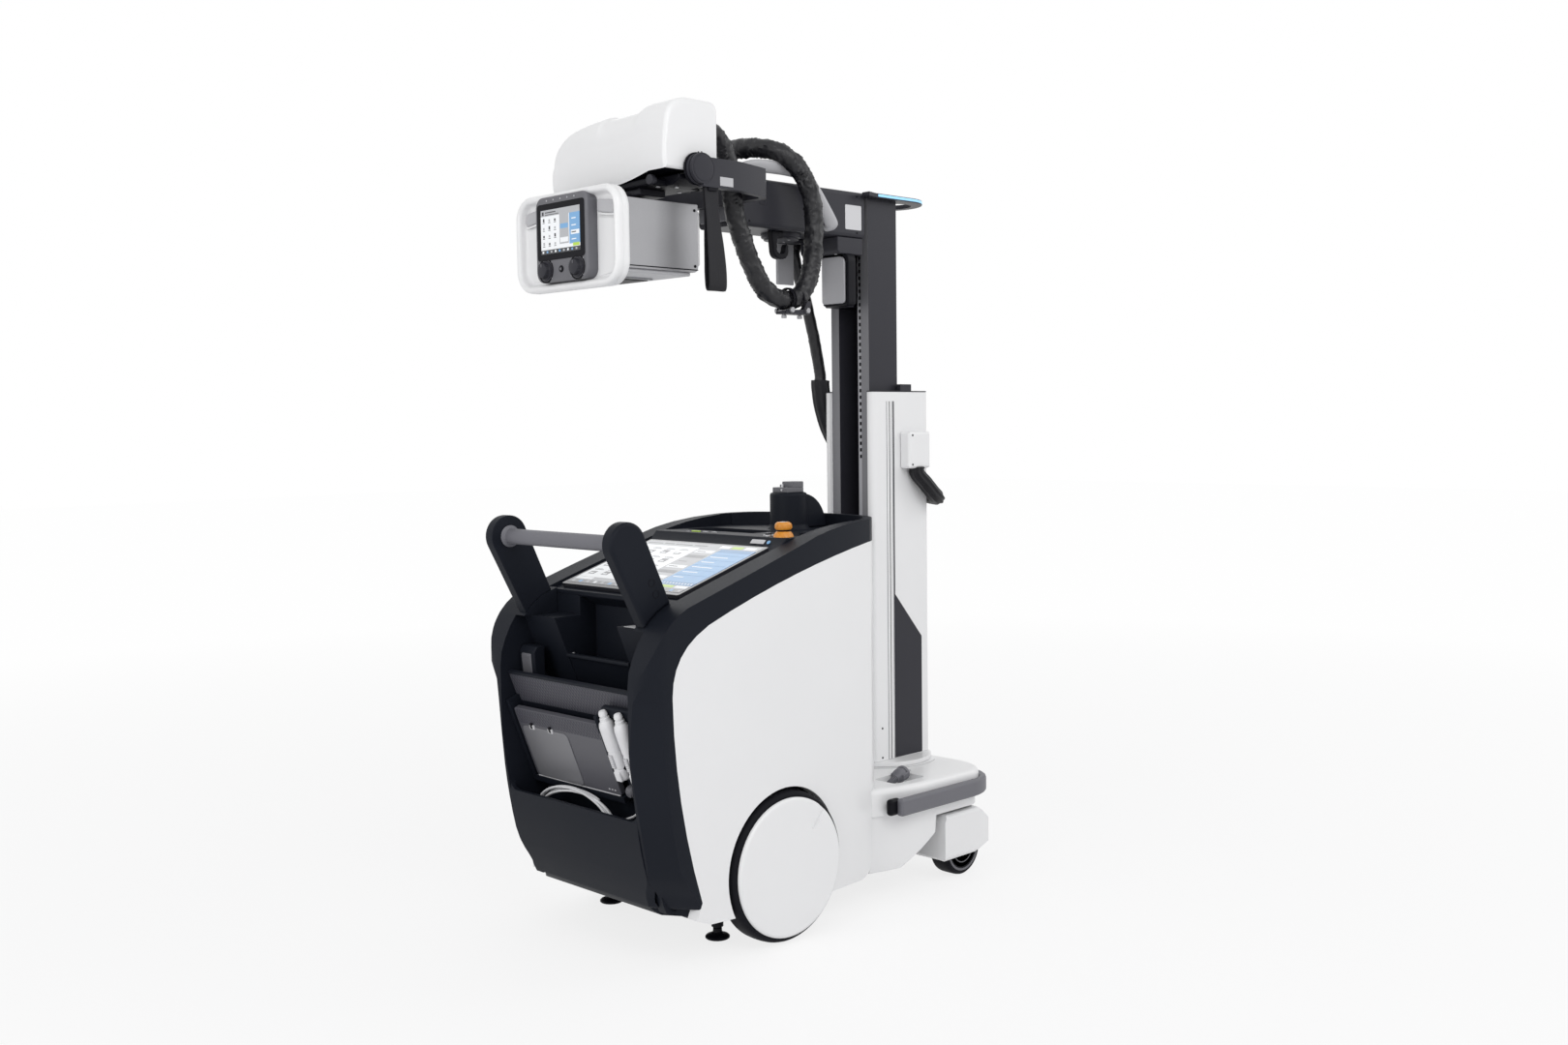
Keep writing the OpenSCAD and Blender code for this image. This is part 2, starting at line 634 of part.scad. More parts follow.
// Yoke
module yoke() color(dark) {
    t = yoke_t;
    outer = [[yoke_half, tilt_y], [yoke_half, -44], [yoke_half - 25, 45], [yoke_half - 50, yoke_back]];
    inner = [[yoke_half - t, tilt_y - 1], [yoke_half - t, -42], [yoke_half - 24 - t, 40],
        [yoke_half - 50, yoke_back - 22]];
    translate([0, 0, tilt_z - 6 - yoke_h / 2]) linear_extrude(yoke_h) difference() {
        polygon(concat(outer, flipped(outer)));
        polygon(concat(inner, flipped(inner)));
    }
    both_sides() along_x(yoke_half - t, yoke_half, tilt_y, tilt_z, pivot_r);
    roll_pin(-1, 50, 0);
}
module strap() color(black)
    round_block_x([yoke_half, tilt_y + 7, tilt_z - 227], [yoke_half + 4, tilt_y + 43, tilt_z - 15], 1.5);

// Tube head
function round_corners(a, b, r, s, n = 6) = concat(
    bez([a.x + r, a.y], [a.x, a.y], [a.x, a.y + r], n), bez([a.x, b.y - s], [a.x, b.y], [a.x + s, b.y], n),
    bez([b.x - s, b.y], [b.x, b.y], [b.x, b.y - s], n), bez([b.x, a.y + r], [b.x, a.y], [b.x - r, a.y], n));
module tube_cover() color(white) intersection() {
    translate([0, cover_back, 0]) rotate([90, 0, 0]) linear_extrude(cover_back - cover_front)
        polygon(concat([[-cover_half, cover_low + 2]],
            bez([-cover_half, cover_top - 76], [-cover_half, cover_top - 20], [-112, cover_top - 11], 8),
            [[-34, cover_top - 7], [-26, cover_top - 11], [82, cover_top - 11], [92, cover_top - 2]],
            bez([120, cover_top], [cover_half, cover_top], [cover_half, cover_top - 52], 8),
            bez([cover_half, cover_low + 18], [120, cover_low + 16], [60, cover_low], 6)));
    slab(-cover_half, cover_half, concat([[cover_front + 4, cover_low], [cover_front, cover_low + 40]],
        bez([cover_front + 2, cover_top - 62], [cover_front + 6, cover_top], [cover_front + 66, cover_top], 8),
        bez([cover_back - 40, cover_top], [cover_back, cover_top], [cover_back, cover_top - 40], 8),
        [[cover_back, cover_low]]));
    linear_extrude(cover_top + 10) polygon(round_corners([-cover_half, cover_front],
        [cover_half, cover_back], 30, 13));
}
module tube_base() color(black) {
    both_sides() along_x(cover_half, yoke_half - yoke_t - slip, tilt_y, tilt_z, 20);
    block([-130, cover_front + 5, cover_low - 8], [130, cover_back - 5, cover_low]);
    translate([0, beam_y, box_top + slip]) cylinder(h = cover_low - box_top - slip - 1, r = 34);
}
module collimator_box() color(steel)
    round_block_x([-box_half, box_front, box_low], [box_half, box_front + 181, box_top], 10);
module bezel() color(white)
    soft_block([-bezel_half, -bezel_reach, box_low - 33], [bezel_half, box_front, box_top + 24], 10, 30, 12);
module control_panel() color(dark)
    round_block_y([-82, -bezel_reach - 8, box_low - 17], [82, -bezel_reach, box_top + 16], 10);
module knobs() color(black) for (x = [-50, 50])
    translate([x, -bezel_reach - 8, box_low + 5]) rotate([90, 0, 0]) cylinder(h = 8, r = 16);

// Hoses: routes as points [x, y, z]
head_route = lifted([[110, cover_back, 1612], [110, cover_back + 21, 1612], [110, -30, 1604],
    [109, -4, 1578], [108, 14, 1535],
    [107, 20, 1490], [106, 28, 1455], [105, 44, 1415], [105, 66, 1370], [107, 92, 1325],
    [110, 120, 1298], [112, 144, 1288], [112, 160, 1288]]);
loop_route = lifted([[112, 160, 1288], [112, 176, 1288], [114, 204, 1298], [118, 234, 1334], [120, 250, 1390],
    [120, 254, 1450], [120, 248, 1510], [118, 230, 1556], [110, 204, 1588], [90, 176, 1606],
    [56, 150, 1612], [16, 140, 1610], [0, 140, 1610]]);
arm_route = lifted([[0, 140, 1610], [-16, 140, 1610], [-54, 148, 1598], [-84, 170, 1572], [-96, 206, 1540],
    [-98, 260, 1514], [-98, 320, 1494], [-98, 370, 1470], [-98, 396, 1448], [-98, 400, 1432],
    [-98, 400, 1424]]);
// Stretched between the column's top and the carriage
function spread(pts) = [for (p = pts) [p.x, p.y, column_top + 30 + p.z * (arm_z - 98 - column_top)]];
mast_route = spread([[-98, 400, 1], [-98, 400, 0.95], [-98, 412, 0.82], [-98, 432, 0.65], [-98, 454, 0.41],
    [-98, 470, 0.2], [-98, 480, 0.05], [-98, 480, 0]]);
// Heights below the column's top, passing close behind it
function hung(pts) = [for (p = pts) [p.x, p.y, column_top - p.z]];
behind = column_back + 14.5;
column_route = hung([[-98, 480, -30], [-98, 480, -14], [-98, 488, 30], [-98, 508, 80], [-98, 546, 130],
    [-98, 596, 170], [-99, 640, 194], [-94, behind - 19.5, 206], [-81, behind - 7, 214], [-62, behind, 220],
    [0, behind, 226], [62, behind, 230], [81, behind - 7, 232], [94, behind - 19.5, 232], [99, 640, 230],
    [95, 614, 216], [91, 600, 196], [91, 600, 175.3]]);
sleeve_r = 12.5;
hose_r = 21;
module head_hose() color(black) tube(head_route, hose_r, 10);
module loop_hose() color(black) tube(loop_route, hose_r, 10);
module arm_hose() color(black) tube(arm_route, hose_r, 10);
module mast_sleeve() color(black) tube(mast_route, sleeve_r, 10);
module column_sleeve() color(black) tube(column_route, sleeve_r, 10);

// Hand switch cord and its coil in the pocket
cord_route = [[switch_x, -293.2, 356.7], [switch_x, -287.8, 342.7], [switch_x - 1, -284, 322],
    [switch_x - 6, -285, 298], [152, -288, 276], [124, -290, 264], [85.5, -290, 262]];
coil_half = [125, 64];
module coil_outline(inset) polygon([for (a = [0 : 15 : 345])
    [(coil_half[0] - inset) * cos(a), (coil_half[1] - inset) * sin(a)]]);
module switch_cord() color(white) tube(cord_route, 2.5, 8);
module cord_coil() color(white) translate([-40, -290, 262]) rotate([90, 0, 0])
    linear_extrude(16, center = true) difference() {
        coil_outline(0);
        coil_outline(18);
    }

machine() chassis();
machine() power_block();
machine() side_panels();
machine() side_trims();
machine() rear_panel();
machine() fascia();
machine() bin_rack();
machine() detector();
machine() switch_holder();
machine() hand_switches();
machine() handle_ears();
machine() handle_bar();
machine() console_deck();
machine() screen();
machine() dock();
machine() console_controls();
machine() base_cover();
machine() base_skirt();
machine() bumper();
machine() mains_plug();
machine() levelling_feet();
machine() tyre_left();
machine() disc_left();
machine() tyre_right();
machine() disc_right();
machine() caster_cover_left();
machine() caster_wheel_left();
machine() caster_cover_right();
machine() caster_wheel_right();
machine() turntable();
machine() outer_column();
machine() column_strips();
machine() cable_box();
machine() inner_mast();
machine() lift_strip();
machine() lamp_ring();
machine() carriage();
machine() arm_outer();
machine() grab_rod();
machine() arm_inner();
machine() yoke();
machine() strap();
machine() tube_cover();
machine() tube_base();
machine() collimator_box();
machine() bezel();
machine() control_panel();
machine() knobs();
machine() head_hose();
machine() loop_hose();
machine() arm_hose();
machine() mast_sleeve();
machine() column_sleeve();
machine() switch_cord();
machine() cord_coil();
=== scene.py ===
import math
import random
import bmesh
import bpy
from mathutils import Matrix, Vector, noise


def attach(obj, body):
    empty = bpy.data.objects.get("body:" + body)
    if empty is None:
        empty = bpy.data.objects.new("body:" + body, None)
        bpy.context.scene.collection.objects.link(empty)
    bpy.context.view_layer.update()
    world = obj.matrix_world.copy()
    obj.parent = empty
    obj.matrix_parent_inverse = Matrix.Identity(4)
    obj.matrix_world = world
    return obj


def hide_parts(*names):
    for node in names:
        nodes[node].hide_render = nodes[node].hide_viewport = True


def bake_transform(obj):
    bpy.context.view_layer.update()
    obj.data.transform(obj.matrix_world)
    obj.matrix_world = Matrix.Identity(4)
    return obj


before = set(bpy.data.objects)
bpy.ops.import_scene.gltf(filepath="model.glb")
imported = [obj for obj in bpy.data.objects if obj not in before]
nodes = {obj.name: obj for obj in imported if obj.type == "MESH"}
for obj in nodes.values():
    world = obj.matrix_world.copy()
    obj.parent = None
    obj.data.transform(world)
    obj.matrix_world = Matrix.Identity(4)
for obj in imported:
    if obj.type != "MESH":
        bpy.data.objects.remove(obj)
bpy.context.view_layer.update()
scene = bpy.context.scene
random.seed(7)
SHIFT = 155  # the source's own origin is the drive axle; the row's is 155 mm behind it


def V(p):
    """A point of the source, in mm from the drive axle, as a point of the row in metres."""
    return Vector((p[0] / 1000, (p[1] - SHIFT) / 1000, p[2] / 1000))


# ---- camera -------------------------------------------------------------------------------------
def set_camera(azimuth, pitch, roll, focal, place, rise):
    a, e, r = (math.radians(v) for v in (azimuth, pitch, roll))
    forward = Vector((-math.sin(a) * math.cos(e), math.cos(a) * math.cos(e), -math.sin(e)))
    right = Vector((math.cos(a), math.sin(a), 0))
    up = right.cross(forward)
    x = right * math.cos(r) + up * math.sin(r)
    y = -right * math.sin(r) + up * math.cos(r)
    data = bpy.data.cameras.new("camera")
    data.sensor_width, data.lens, data.shift_y = 36, focal * 36 / 1620, rise / 1620
    data.clip_end = 60
    o = bpy.data.objects.new("camera", data)
    o.matrix_world = Matrix.Translation(V(place)) @ Matrix((x, y, -forward)).transposed().to_4x4()
    scene.collection.objects.link(o)
    scene.camera = o


set_camera(45.6, 3.9, -0.7, 1589.8, (2412.5, -2102.3, 1029.3), 7.0)


# ---- materials ----------------------------------------------------------------------------------
def node_of(nt, kind, **values):
    n = nt.nodes.new(kind)
    for k, v in values.items():
        if hasattr(n, k):
            setattr(n, k, v)
        else:
            n.inputs[k.replace("_", " ")].default_value = v
    return n


def material(name, colour, rough=0.5, metal=0.0, grain=900, bump=0.12, vary=0.05, rough_vary=0.08, coat=0.0,
             sheen=0.0, stretch=(1, 1, 1), emit=0.0, specular=0.5, patch=5.0):
    """A moulded, painted or woven finish: colour, roughness and grain each vary with their own noise."""
    m = bpy.data.materials.new(name)
    m.use_nodes = True
    nt = m.node_tree
    bsdf = nt.nodes["Principled BSDF"]
    bsdf.inputs["Metallic"].default_value = metal
    bsdf.inputs["Coat Weight"].default_value = coat
    bsdf.inputs["Coat Roughness"].default_value = 0.15
    bsdf.inputs["Sheen Weight"].default_value = sheen
    bsdf.inputs["Specular IOR Level"].default_value = specular
    where = node_of(nt, "ShaderNodeTexCoord")
    mapping = node_of(nt, "ShaderNodeMapping")
    mapping.inputs["Scale"].default_value = stretch
    nt.links.new(where.outputs["Object"], mapping.inputs["Vector"])
    large = node_of(nt, "ShaderNodeTexNoise", Scale=patch, Detail=4.0)
    fine = node_of(nt, "ShaderNodeTexNoise", Scale=float(grain), Detail=3.0)
    nt.links.new(where.outputs["Object"], large.inputs["Vector"])
    nt.links.new(mapping.outputs["Vector"], fine.inputs["Vector"])
    ramp = node_of(nt, "ShaderNodeValToRGB")
    ramp.color_ramp.elements[0].position, ramp.color_ramp.elements[1].position = 0.3, 0.7
    for element, k in zip(ramp.color_ramp.elements, (1 - vary, 1 + vary * 0.6)):
        element.color = [min(1.0, c * k) for c in colour] + [1]
    mix = node_of(nt, "ShaderNodeMix", data_type="RGBA", blend_type="MULTIPLY")
    mix.inputs[0].default_value = 0.5
    spread = node_of(nt, "ShaderNodeMapRange")
    spread.inputs["To Min"].default_value, spread.inputs["To Max"].default_value = 1 - vary * 1.6, 1 + vary
    nt.links.new(large.outputs["Fac"], ramp.inputs["Fac"])
    nt.links.new(fine.outputs["Fac"], spread.inputs["Value"])
    nt.links.new(ramp.outputs["Color"], mix.inputs[6])
    nt.links.new(spread.outputs["Result"], mix.inputs[7])
    nt.links.new(mix.outputs[2], bsdf.inputs["Base Color"])
    if emit:
        nt.links.new(mix.outputs[2], bsdf.inputs["Emission Color"])
        bsdf.inputs["Emission Strength"].default_value = emit
    shine = node_of(nt, "ShaderNodeMapRange")
    shine.inputs["To Min"].default_value = max(0.03, rough - rough_vary)
    shine.inputs["To Max"].default_value = min(1.0, rough + rough_vary)
    nt.links.new(large.outputs["Fac"], shine.inputs["Value"])
    nt.links.new(shine.outputs["Result"], bsdf.inputs["Roughness"])
    if bump:
        b = node_of(nt, "ShaderNodeBump", Strength=bump, Distance=0.0006)
        nt.links.new(fine.outputs["Fac"], b.inputs["Height"])
        nt.links.new(b.outputs["Normal"], bsdf.inputs["Normal"])
    return m


MAT = {
    "white": material("white_shell", (0.87, 0.872, 0.88), 0.34, grain=1500, bump=0.03, vary=0.012, coat=0.12),
    "dark": material("dark_moulding", (0.0105, 0.0125, 0.0185), 0.48, grain=2200, bump=0.16, vary=0.08, specular=0.1),
    "mast": material("dark_paint", (0.03, 0.03, 0.038), 0.42, grain=1400, bump=0.08, vary=0.06, specular=0.2),
    "black": material("black_moulding", (0.005, 0.005, 0.008), 0.45, grain=1600, bump=0.15, vary=0.15, specular=0.12),
    "grey": material("grey_moulding", (0.135, 0.135, 0.15), 0.45, grain=1500, bump=0.12, vary=0.06),
    "pale": material("pale_moulding", (0.5, 0.5, 0.52), 0.42, grain=1500, bump=0.1, vary=0.04),
    "tyre": material("tyre_rubber", (0.007, 0.007, 0.01), 0.6, grain=700, bump=0.3, vary=0.2, specular=0.1),
    "steel": material("brushed_steel", (0.365, 0.365, 0.38), 0.36, metal=0.75, grain=420, bump=0.12, vary=0.1,
                      stretch=(0.05, 1, 1)),
    # The rail's pale grey is set far above the strip's own dark grey so that it shows inside the mast's recess shadow:
    # painted light.
    "rail": material("brushed_rail_painted_light", (0.5, 0.5, 0.53), 0.4, metal=0.0, grain=500, bump=0.1, vary=0.08,
                     stretch=(1, 1, 0.04)),
    "fabric": material("hose_fabric", (0.006, 0.006, 0.009), 0.4, grain=1100, bump=0.35, vary=0.25, specular=0.45),
    "web": material("webbing", (0.005, 0.005, 0.008), 0.6, grain=800, bump=0.6, vary=0.3, sheen=0.05, specular=0.3,
                    stretch=(1, 1, 0.35)),
    "cord": material("cord_jacket", (0.8, 0.8, 0.82), 0.5, grain=900, bump=0.1, vary=0.03),
    "orange": material("orange_moulding", (0.78, 0.3, 0.02), 0.4, grain=1100, bump=0.1, vary=0.06, coat=0.2),
    "glass": material("screen_face", (0.03, 0.03, 0.036), 0.12, grain=900, bump=0.0, vary=0.05, coat=0.4),
    "lamp": material("lamp_strip", (0.27, 0.58, 0.86), 0.3, grain=300, bump=0.05, vary=0.08, emit=0.55),
    "frame": material("frame_paint", (0.03, 0.03, 0.034), 0.55, grain=900, bump=0.2, vary=0.1),
    "label": material("blank_label", (0.66, 0.66, 0.68), 0.4, grain=1200, bump=0.03, vary=0.03),
    "pad": material("pad_facing", (0.4, 0.4, 0.42), 0.4, metal=0.3, grain=1300, bump=0.14, vary=0.05),
    "bumper": material("bumper_rubber", (0.15, 0.15, 0.17), 0.5, grain=1300, bump=0.15, vary=0.06),
    "mast_face": material("mast_front_paint", (0.2, 0.2, 0.215), 0.42, grain=1400, bump=0.08, vary=0.05),
    "rim": material("caster_rim", (0.13, 0.13, 0.145), 0.4, grain=900, bump=0.1, vary=0.06),
    "slab": material("detector_case", (0.085, 0.085, 0.1), 0.42, grain=1300, bump=0.12, vary=0.06),
    "slab_light": material("detector_cover", (0.2, 0.2, 0.215), 0.4, grain=1100, bump=0.08, vary=0.05, metal=0.2),
    # Grey of the deck's step line: painted shade at the edge of a shallow step.
    "groove": material("step_line_painted_shade", (0.45, 0.45, 0.47), 0.35, metal=0.4, grain=500, bump=0.06, vary=0.05,
                       stretch=(1, 1, 0.05)),
    "ui_white": material("display_white", (0.8, 0.82, 0.84), 0.35, grain=300, bump=0.0, vary=0.02, emit=0.22, coat=0.5),
    "ui_grey": material("display_grey", (0.42, 0.43, 0.45), 0.35, grain=300, bump=0.0, vary=0.03, emit=0.15, coat=0.5),
    "ui_mid": material("display_mid_grey", (0.2, 0.205, 0.22), 0.35, grain=300, bump=0.0, vary=0.03, emit=0.1, coat=0.5),
    "ui_blue": material("display_blue", (0.16, 0.36, 0.62), 0.35, grain=300, bump=0.0, vary=0.04, emit=0.2, coat=0.5),
    "ui_deep": material("display_deep_blue", (0.09, 0.24, 0.46), 0.35, grain=300, bump=0.0, vary=0.04, emit=0.2,
                        coat=0.5),
    "ui_green": material("display_green", (0.42, 0.62, 0.05), 0.35, grain=300, bump=0.0, vary=0.04, emit=0.2, coat=0.5),
    "ui_dark": material("display_dark", (0.02, 0.022, 0.03), 0.3, grain=300, bump=0.0, vary=0.05, coat=0.5),
}


def diamonds(name, colour):
    """A finish with a grid of fine raised diamonds."""
    m = material(name, colour, 0.45, grain=1300, bump=0.1, vary=0.05, specular=0.35)
    nt = m.node_tree
    bsdf = nt.nodes["Principled BSDF"]
    where = node_of(nt, "ShaderNodeTexCoord")
    waves = []
    for slant in (0.6, -0.6):
        mapping = node_of(nt, "ShaderNodeMapping")
        mapping.inputs["Rotation"].default_value = (0, slant, 0)
        wave = node_of(nt, "ShaderNodeTexWave", Scale=42.0)
        nt.links.new(where.outputs["Object"], mapping.inputs["Vector"])
        nt.links.new(mapping.outputs["Vector"], wave.inputs["Vector"])
        waves.append(wave)
    both = node_of(nt, "ShaderNodeMath", operation="MULTIPLY")
    nt.links.new(waves[0].outputs["Fac"], both.inputs[0])
    nt.links.new(waves[1].outputs["Fac"], both.inputs[1])
    lift = node_of(nt, "ShaderNodeBump", Strength=0.8, Distance=0.0012)
    nt.links.new(both.outputs[0], lift.inputs["Height"])
    nt.links.new(bsdf.inputs["Normal"].links[0].from_socket, lift.inputs["Normal"])
    nt.links.new(lift.outputs["Normal"], bsdf.inputs["Normal"])
    return m


MAT["diamond"] = diamonds("diamond_moulding", (0.06, 0.06, 0.075))
CAD_LOOK = {
    "white": "side_panels rear_panel base_cover base_skirt disc_left disc_right caster_cover_left "
             "caster_cover_right turntable outer_column cable_box tube_cover bezel hand_switches",
    "dark": "side_trims fascia bin_rack switch_holder handle_ears handle_bar console_deck dock control_panel",
    "mast": "inner_mast lamp_ring carriage arm_outer yoke",
    "black": "tube_base knobs levelling_feet",
    "grey": "bumper arm_inner column_strips mains_plug detector",
    "pale": "grab_rod",
    "tyre": "tyre_left tyre_right caster_wheel_left caster_wheel_right",
    "steel": "collimator_box",
    "rail": "lift_strip",
    "fabric": "head_hose loop_hose arm_hose mast_sleeve column_sleeve",
    "web": "strap",
    "cord": "switch_cord cord_coil",
    "orange": "console_controls",
    "glass": "screen",
    "frame": "chassis power_block",
}
for look, names in CAD_LOOK.items():
    for n in names.split():
        o = nodes[n]
        o.data.materials.clear()
        o.data.materials.append(MAT[look])
        weld = o.modifiers.new("weld", "WELD")
        weld.merge_threshold = 0.00002
        flat = o.modifiers.new("flat", "DECIMATE")
        flat.decimate_type, flat.angle_limit = "DISSOLVE", math.radians(0.4)
        bev = o.modifiers.new("edge", "BEVEL")
        bev.width, bev.segments, bev.limit_method, bev.angle_limit = 0.0022, 3, "ANGLE", math.radians(35)
        bev.use_clamp_overlap, bev.harden_normals = True, False
        for poly in o.data.polygons:
            poly.use_smooth = True
        even = o.modifiers.new("even", "WEIGHTED_NORMAL")
        even.keep_sharp = True


# ---- mesh tools ---------------------------------------------------------------------------------
def bez(a, b, c, n=8):
    return [tuple((1 - t) * (1 - t) * p + 2 * t * (1 - t) * q + t * t * r for p, q, r in zip(a, b, c))
            for t in (i / n for i in range(n + 1))]


def rrect(w, h, r, n=8):
    """Rounded rectangle round the origin, counter-clockwise, 4 * (n + 1) points."""
    out = []
    for k, (sx, sy) in enumerate(((1, 1), (-1, 1), (-1, -1), (1, -1))):
        for i in range(n + 1):
            a = math.pi / 2 * (k + i / n)
            out.append((sx * (w / 2 - r) + r * math.cos(a), sy * (h / 2 - r) + r * math.sin(a)))
    return out


def move(x, y, z):
    return Matrix.Translation((x, y, z))


def turn(axis, degrees, at=(0, 0, 0)):
    return move(*at) @ Matrix.Rotation(math.radians(degrees), 4, axis)


def place(u, v, w, axis):
    return {"x": (w, u, v), "y": (u, w, v), "z": (u, v, w)}[axis]


def rings_mesh(rings, closed_ends=(True, True), caps=(None, None)):
    """A skin over rings of equal length; each end closed by one face."""
    bm = bmesh.new()
    rows = [[bm.verts.new(p) for p in ring] for ring in rings]
    n = len(rings[0])
    for a, b in zip(rows, rows[1:]):
        for i in range(n):
            bm.faces.new((a[i], a[(i + 1) % n], b[(i + 1) % n], b[i]))
    if closed_ends[0]:
        bm.faces.new(list(reversed(rows[0])))
    if closed_ends[1]:
        bm.faces.new(rows[-1])
    bmesh.ops.recalc_face_normals(bm, faces=bm.faces)
    return bm


def sharp_edges(bm, angle=28):
    limit = math.radians(angle)
    return [e for e in bm.edges if len(e.link_faces) == 2 and e.calc_face_angle(0.0) > limit]


def round_edges(bm, r, seg=3, angle=28, test=None):
    edges = [e for e in sharp_edges(bm, angle) if test is None or test((e.verts[0].co + e.verts[1].co) / 2, e)]
    if edges:
        bmesh.ops.bevel(bm, geom=edges, offset=r, offset_type="OFFSET", segments=seg, profile=0.5,
                        affect="EDGES", clamp_overlap=True)


class Piece:
    """One mesh made of solids given in mm in the source's frame, each with its own look."""

    def __init__(self, name, body, *looks):
        self.name, self.body, self.looks, self.bm = name, body, looks, bmesh.new()

    def add(self, bm, look=0, r=0.0, seg=3, by=None, angle=28):
        if r:
            round_edges(bm, r, seg, angle)
        for e in bm.edges:
            e.smooth = not (len(e.link_faces) == 2 and e.calc_face_angle(0.0) > math.radians(40))
        for f in bm.faces:
            f.material_index = look if f.material_index == 0 else f.material_index
            f.smooth = True
        if by is not None:
            bmesh.ops.transform(bm, matrix=by, verts=bm.verts)
        me = bpy.data.meshes.new("part")
        bm.to_mesh(me)
        bm.free()
        self.bm.from_mesh(me)
        bpy.data.meshes.remove(me)
        return self

    def prism(self, pts, axis, lo, hi, look=0, r=0.0, seg=3, by=None):
        rings = [[place(u, v, w, axis) for u, v in pts] for w in (lo, hi)]
        return self.add(rings_mesh(rings), look, r, seg, by)

    def box(self, lo, hi, look=0, r=1.0, seg=3, by=None):
        pts = [(lo[0], lo[1]), (hi[0], lo[1]), (hi[0], hi[1]), (lo[0], hi[1])]
        return self.prism(pts, "z", lo[2], hi[2], look, r, seg, by)

    def pill(self, w, h, r, axis, at, depth, look=0, edge=0.6, seg=3, by=None):
        """Rounded rectangle w by h standing on the plane square to axis, at its middle, depth along axis."""
        u, v = {"x": (1, 2), "y": (0, 2), "z": (0, 1)}[axis]
        k = "xyz".index(axis)
        pts = [(p + at[u], q + at[v]) for p, q in rrect(w, h, r)]
        return self.prism(pts, axis, at[k], at[k] + depth, look, edge, seg, by)

    def lathe(self, profile, at, axis="z", look=0, sides=48, by=None, r=0.0):
        """profile: (radius, along) pairs from one end to the other, turned round axis."""
        rings = []
        for radius, along in profile:
            ring = []
            for i in range(sides):
                a = 2 * math.pi * i / sides
                ring.append(Vector(place(max(radius, 0.01) * math.cos(a), max(radius, 0.01) * math.sin(a), along,
                                         axis)) + Vector(at))
            rings.append(ring)
        return self.add(rings_mesh(rings), look, r, 3, by)

    def tube(self, pts, radius, sides=16, look=0, by=None, flat=1.0):
        return self.add(rings_mesh(sweep(smooth_line(pts, 4), radius, sides, flat)), look, 0.0, 3, by)

    def screw(self, at, axis, look=0, r=3.2, out=1.0):
        s = out
        return self.lathe([(0, s * 1.2), (r * 0.45, s * 1.2), (r * 0.5, s * 0.2), (r * 0.62, s * 1.2),
                           (r * 0.9, s), (r, 0), (r, -s)], at, axis, look, 20)

    def done(self, slot=None, replaces=(), rides=True):
        bmesh.ops.transform(self.bm, matrix=Matrix.Diagonal((0.001, 0.001, 0.001, 1)) @ move(0, -SHIFT, 0),
                            verts=self.bm.verts)
        me = bpy.data.meshes.new(self.name)
        self.bm.to_mesh(me)
        self.bm.free()
        o = bpy.data.objects.new(self.name, me)
        scene.collection.objects.link(o)
        for look in self.looks:
            me.materials.append(MAT[look])
        even = o.modifiers.new("even", "WEIGHTED_NORMAL")
        even.keep_sharp = True
        if rides:
            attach(o, self.body)
        if replaces:
            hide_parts(*replaces)
        return o


def smooth_line(pts, per=6):
    """Catmull-Rom line through the points."""
    pts = [Vector(p) for p in pts]
    out = []
    for i in range(len(pts) - 1):
        a, b = pts[max(i - 1, 0)], pts[i]
        c, d = pts[i + 1], pts[min(i + 2, len(pts) - 1)]
        for k in range(per):
            t = k / per
            out.append(0.5 * ((2 * b) + (c - a) * t + (2 * a - 5 * b + 4 * c - d) * t * t
                              + (3 * b - a - 3 * c + d) * t * t * t))
    return out + [pts[-1]]


def sweep(line, radius, sides, flat=1.0, swell=None):
    """Rings square to the line; radius may vary by swell(distance, angle)."""
    rings, s, run = [], None, 0.0
    for i, p in enumerate(line):
        d = (line[min(i + 1, len(line) - 1)] - line[max(i - 1, 0)]).normalized()
        if s is None:
            s = d.cross(Vector((1, 0, 0)) if abs(d.x) < 0.9 else Vector((0, 0, 1))).normalized()
        s = (s - d * s.dot(d)).normalized()
        t = d.cross(s)
        ring = []
        for k in range(sides):
            a = 2 * math.pi * k / sides
            q = radius * (1 if swell is None else swell(run, a))
            ring.append(p + s * (q * math.cos(a)) + t * (q * flat * math.sin(a)))
        rings.append(ring)
        if i + 1 < len(line):
            run += (line[i + 1] - p).length
    return rings


def even_line(line, step):
    """The line again, with points an even step apart."""
    total = sum((b - a).length for a, b in zip(line, line[1:]))
    count = max(2, round(total / step))
    out, i, gone = [line[0].copy()], 0, 0.0
    for k in range(1, count):
        want = total * k / count
        while gone + (line[i + 1] - line[i]).length < want:
            gone += (line[i + 1] - line[i]).length
            i += 1
        out.append(line[i].lerp(line[i + 1], (want - gone) / (line[i + 1] - line[i]).length))
    return out + [line[-1].copy()]


def copy_of(node):
    """The mesh of a CAD node in mm in the source's frame, with its flat faces joined."""
    o = nodes[node]
    bm = bmesh.new()
    bm.from_mesh(o.data)
    bmesh.ops.transform(bm, matrix=move(0, SHIFT, 0) @ Matrix.Diagonal((1000, 1000, 1000, 1)) @ o.matrix_world,
                        verts=bm.verts)
    bmesh.ops.remove_doubles(bm, verts=bm.verts, dist=0.03)
    bmesh.ops.dissolve_limit(bm, angle_limit=math.radians(0.4), verts=bm.verts, edges=bm.edges)
    for f in bm.faces:
        f.material_index = 0
    return bm


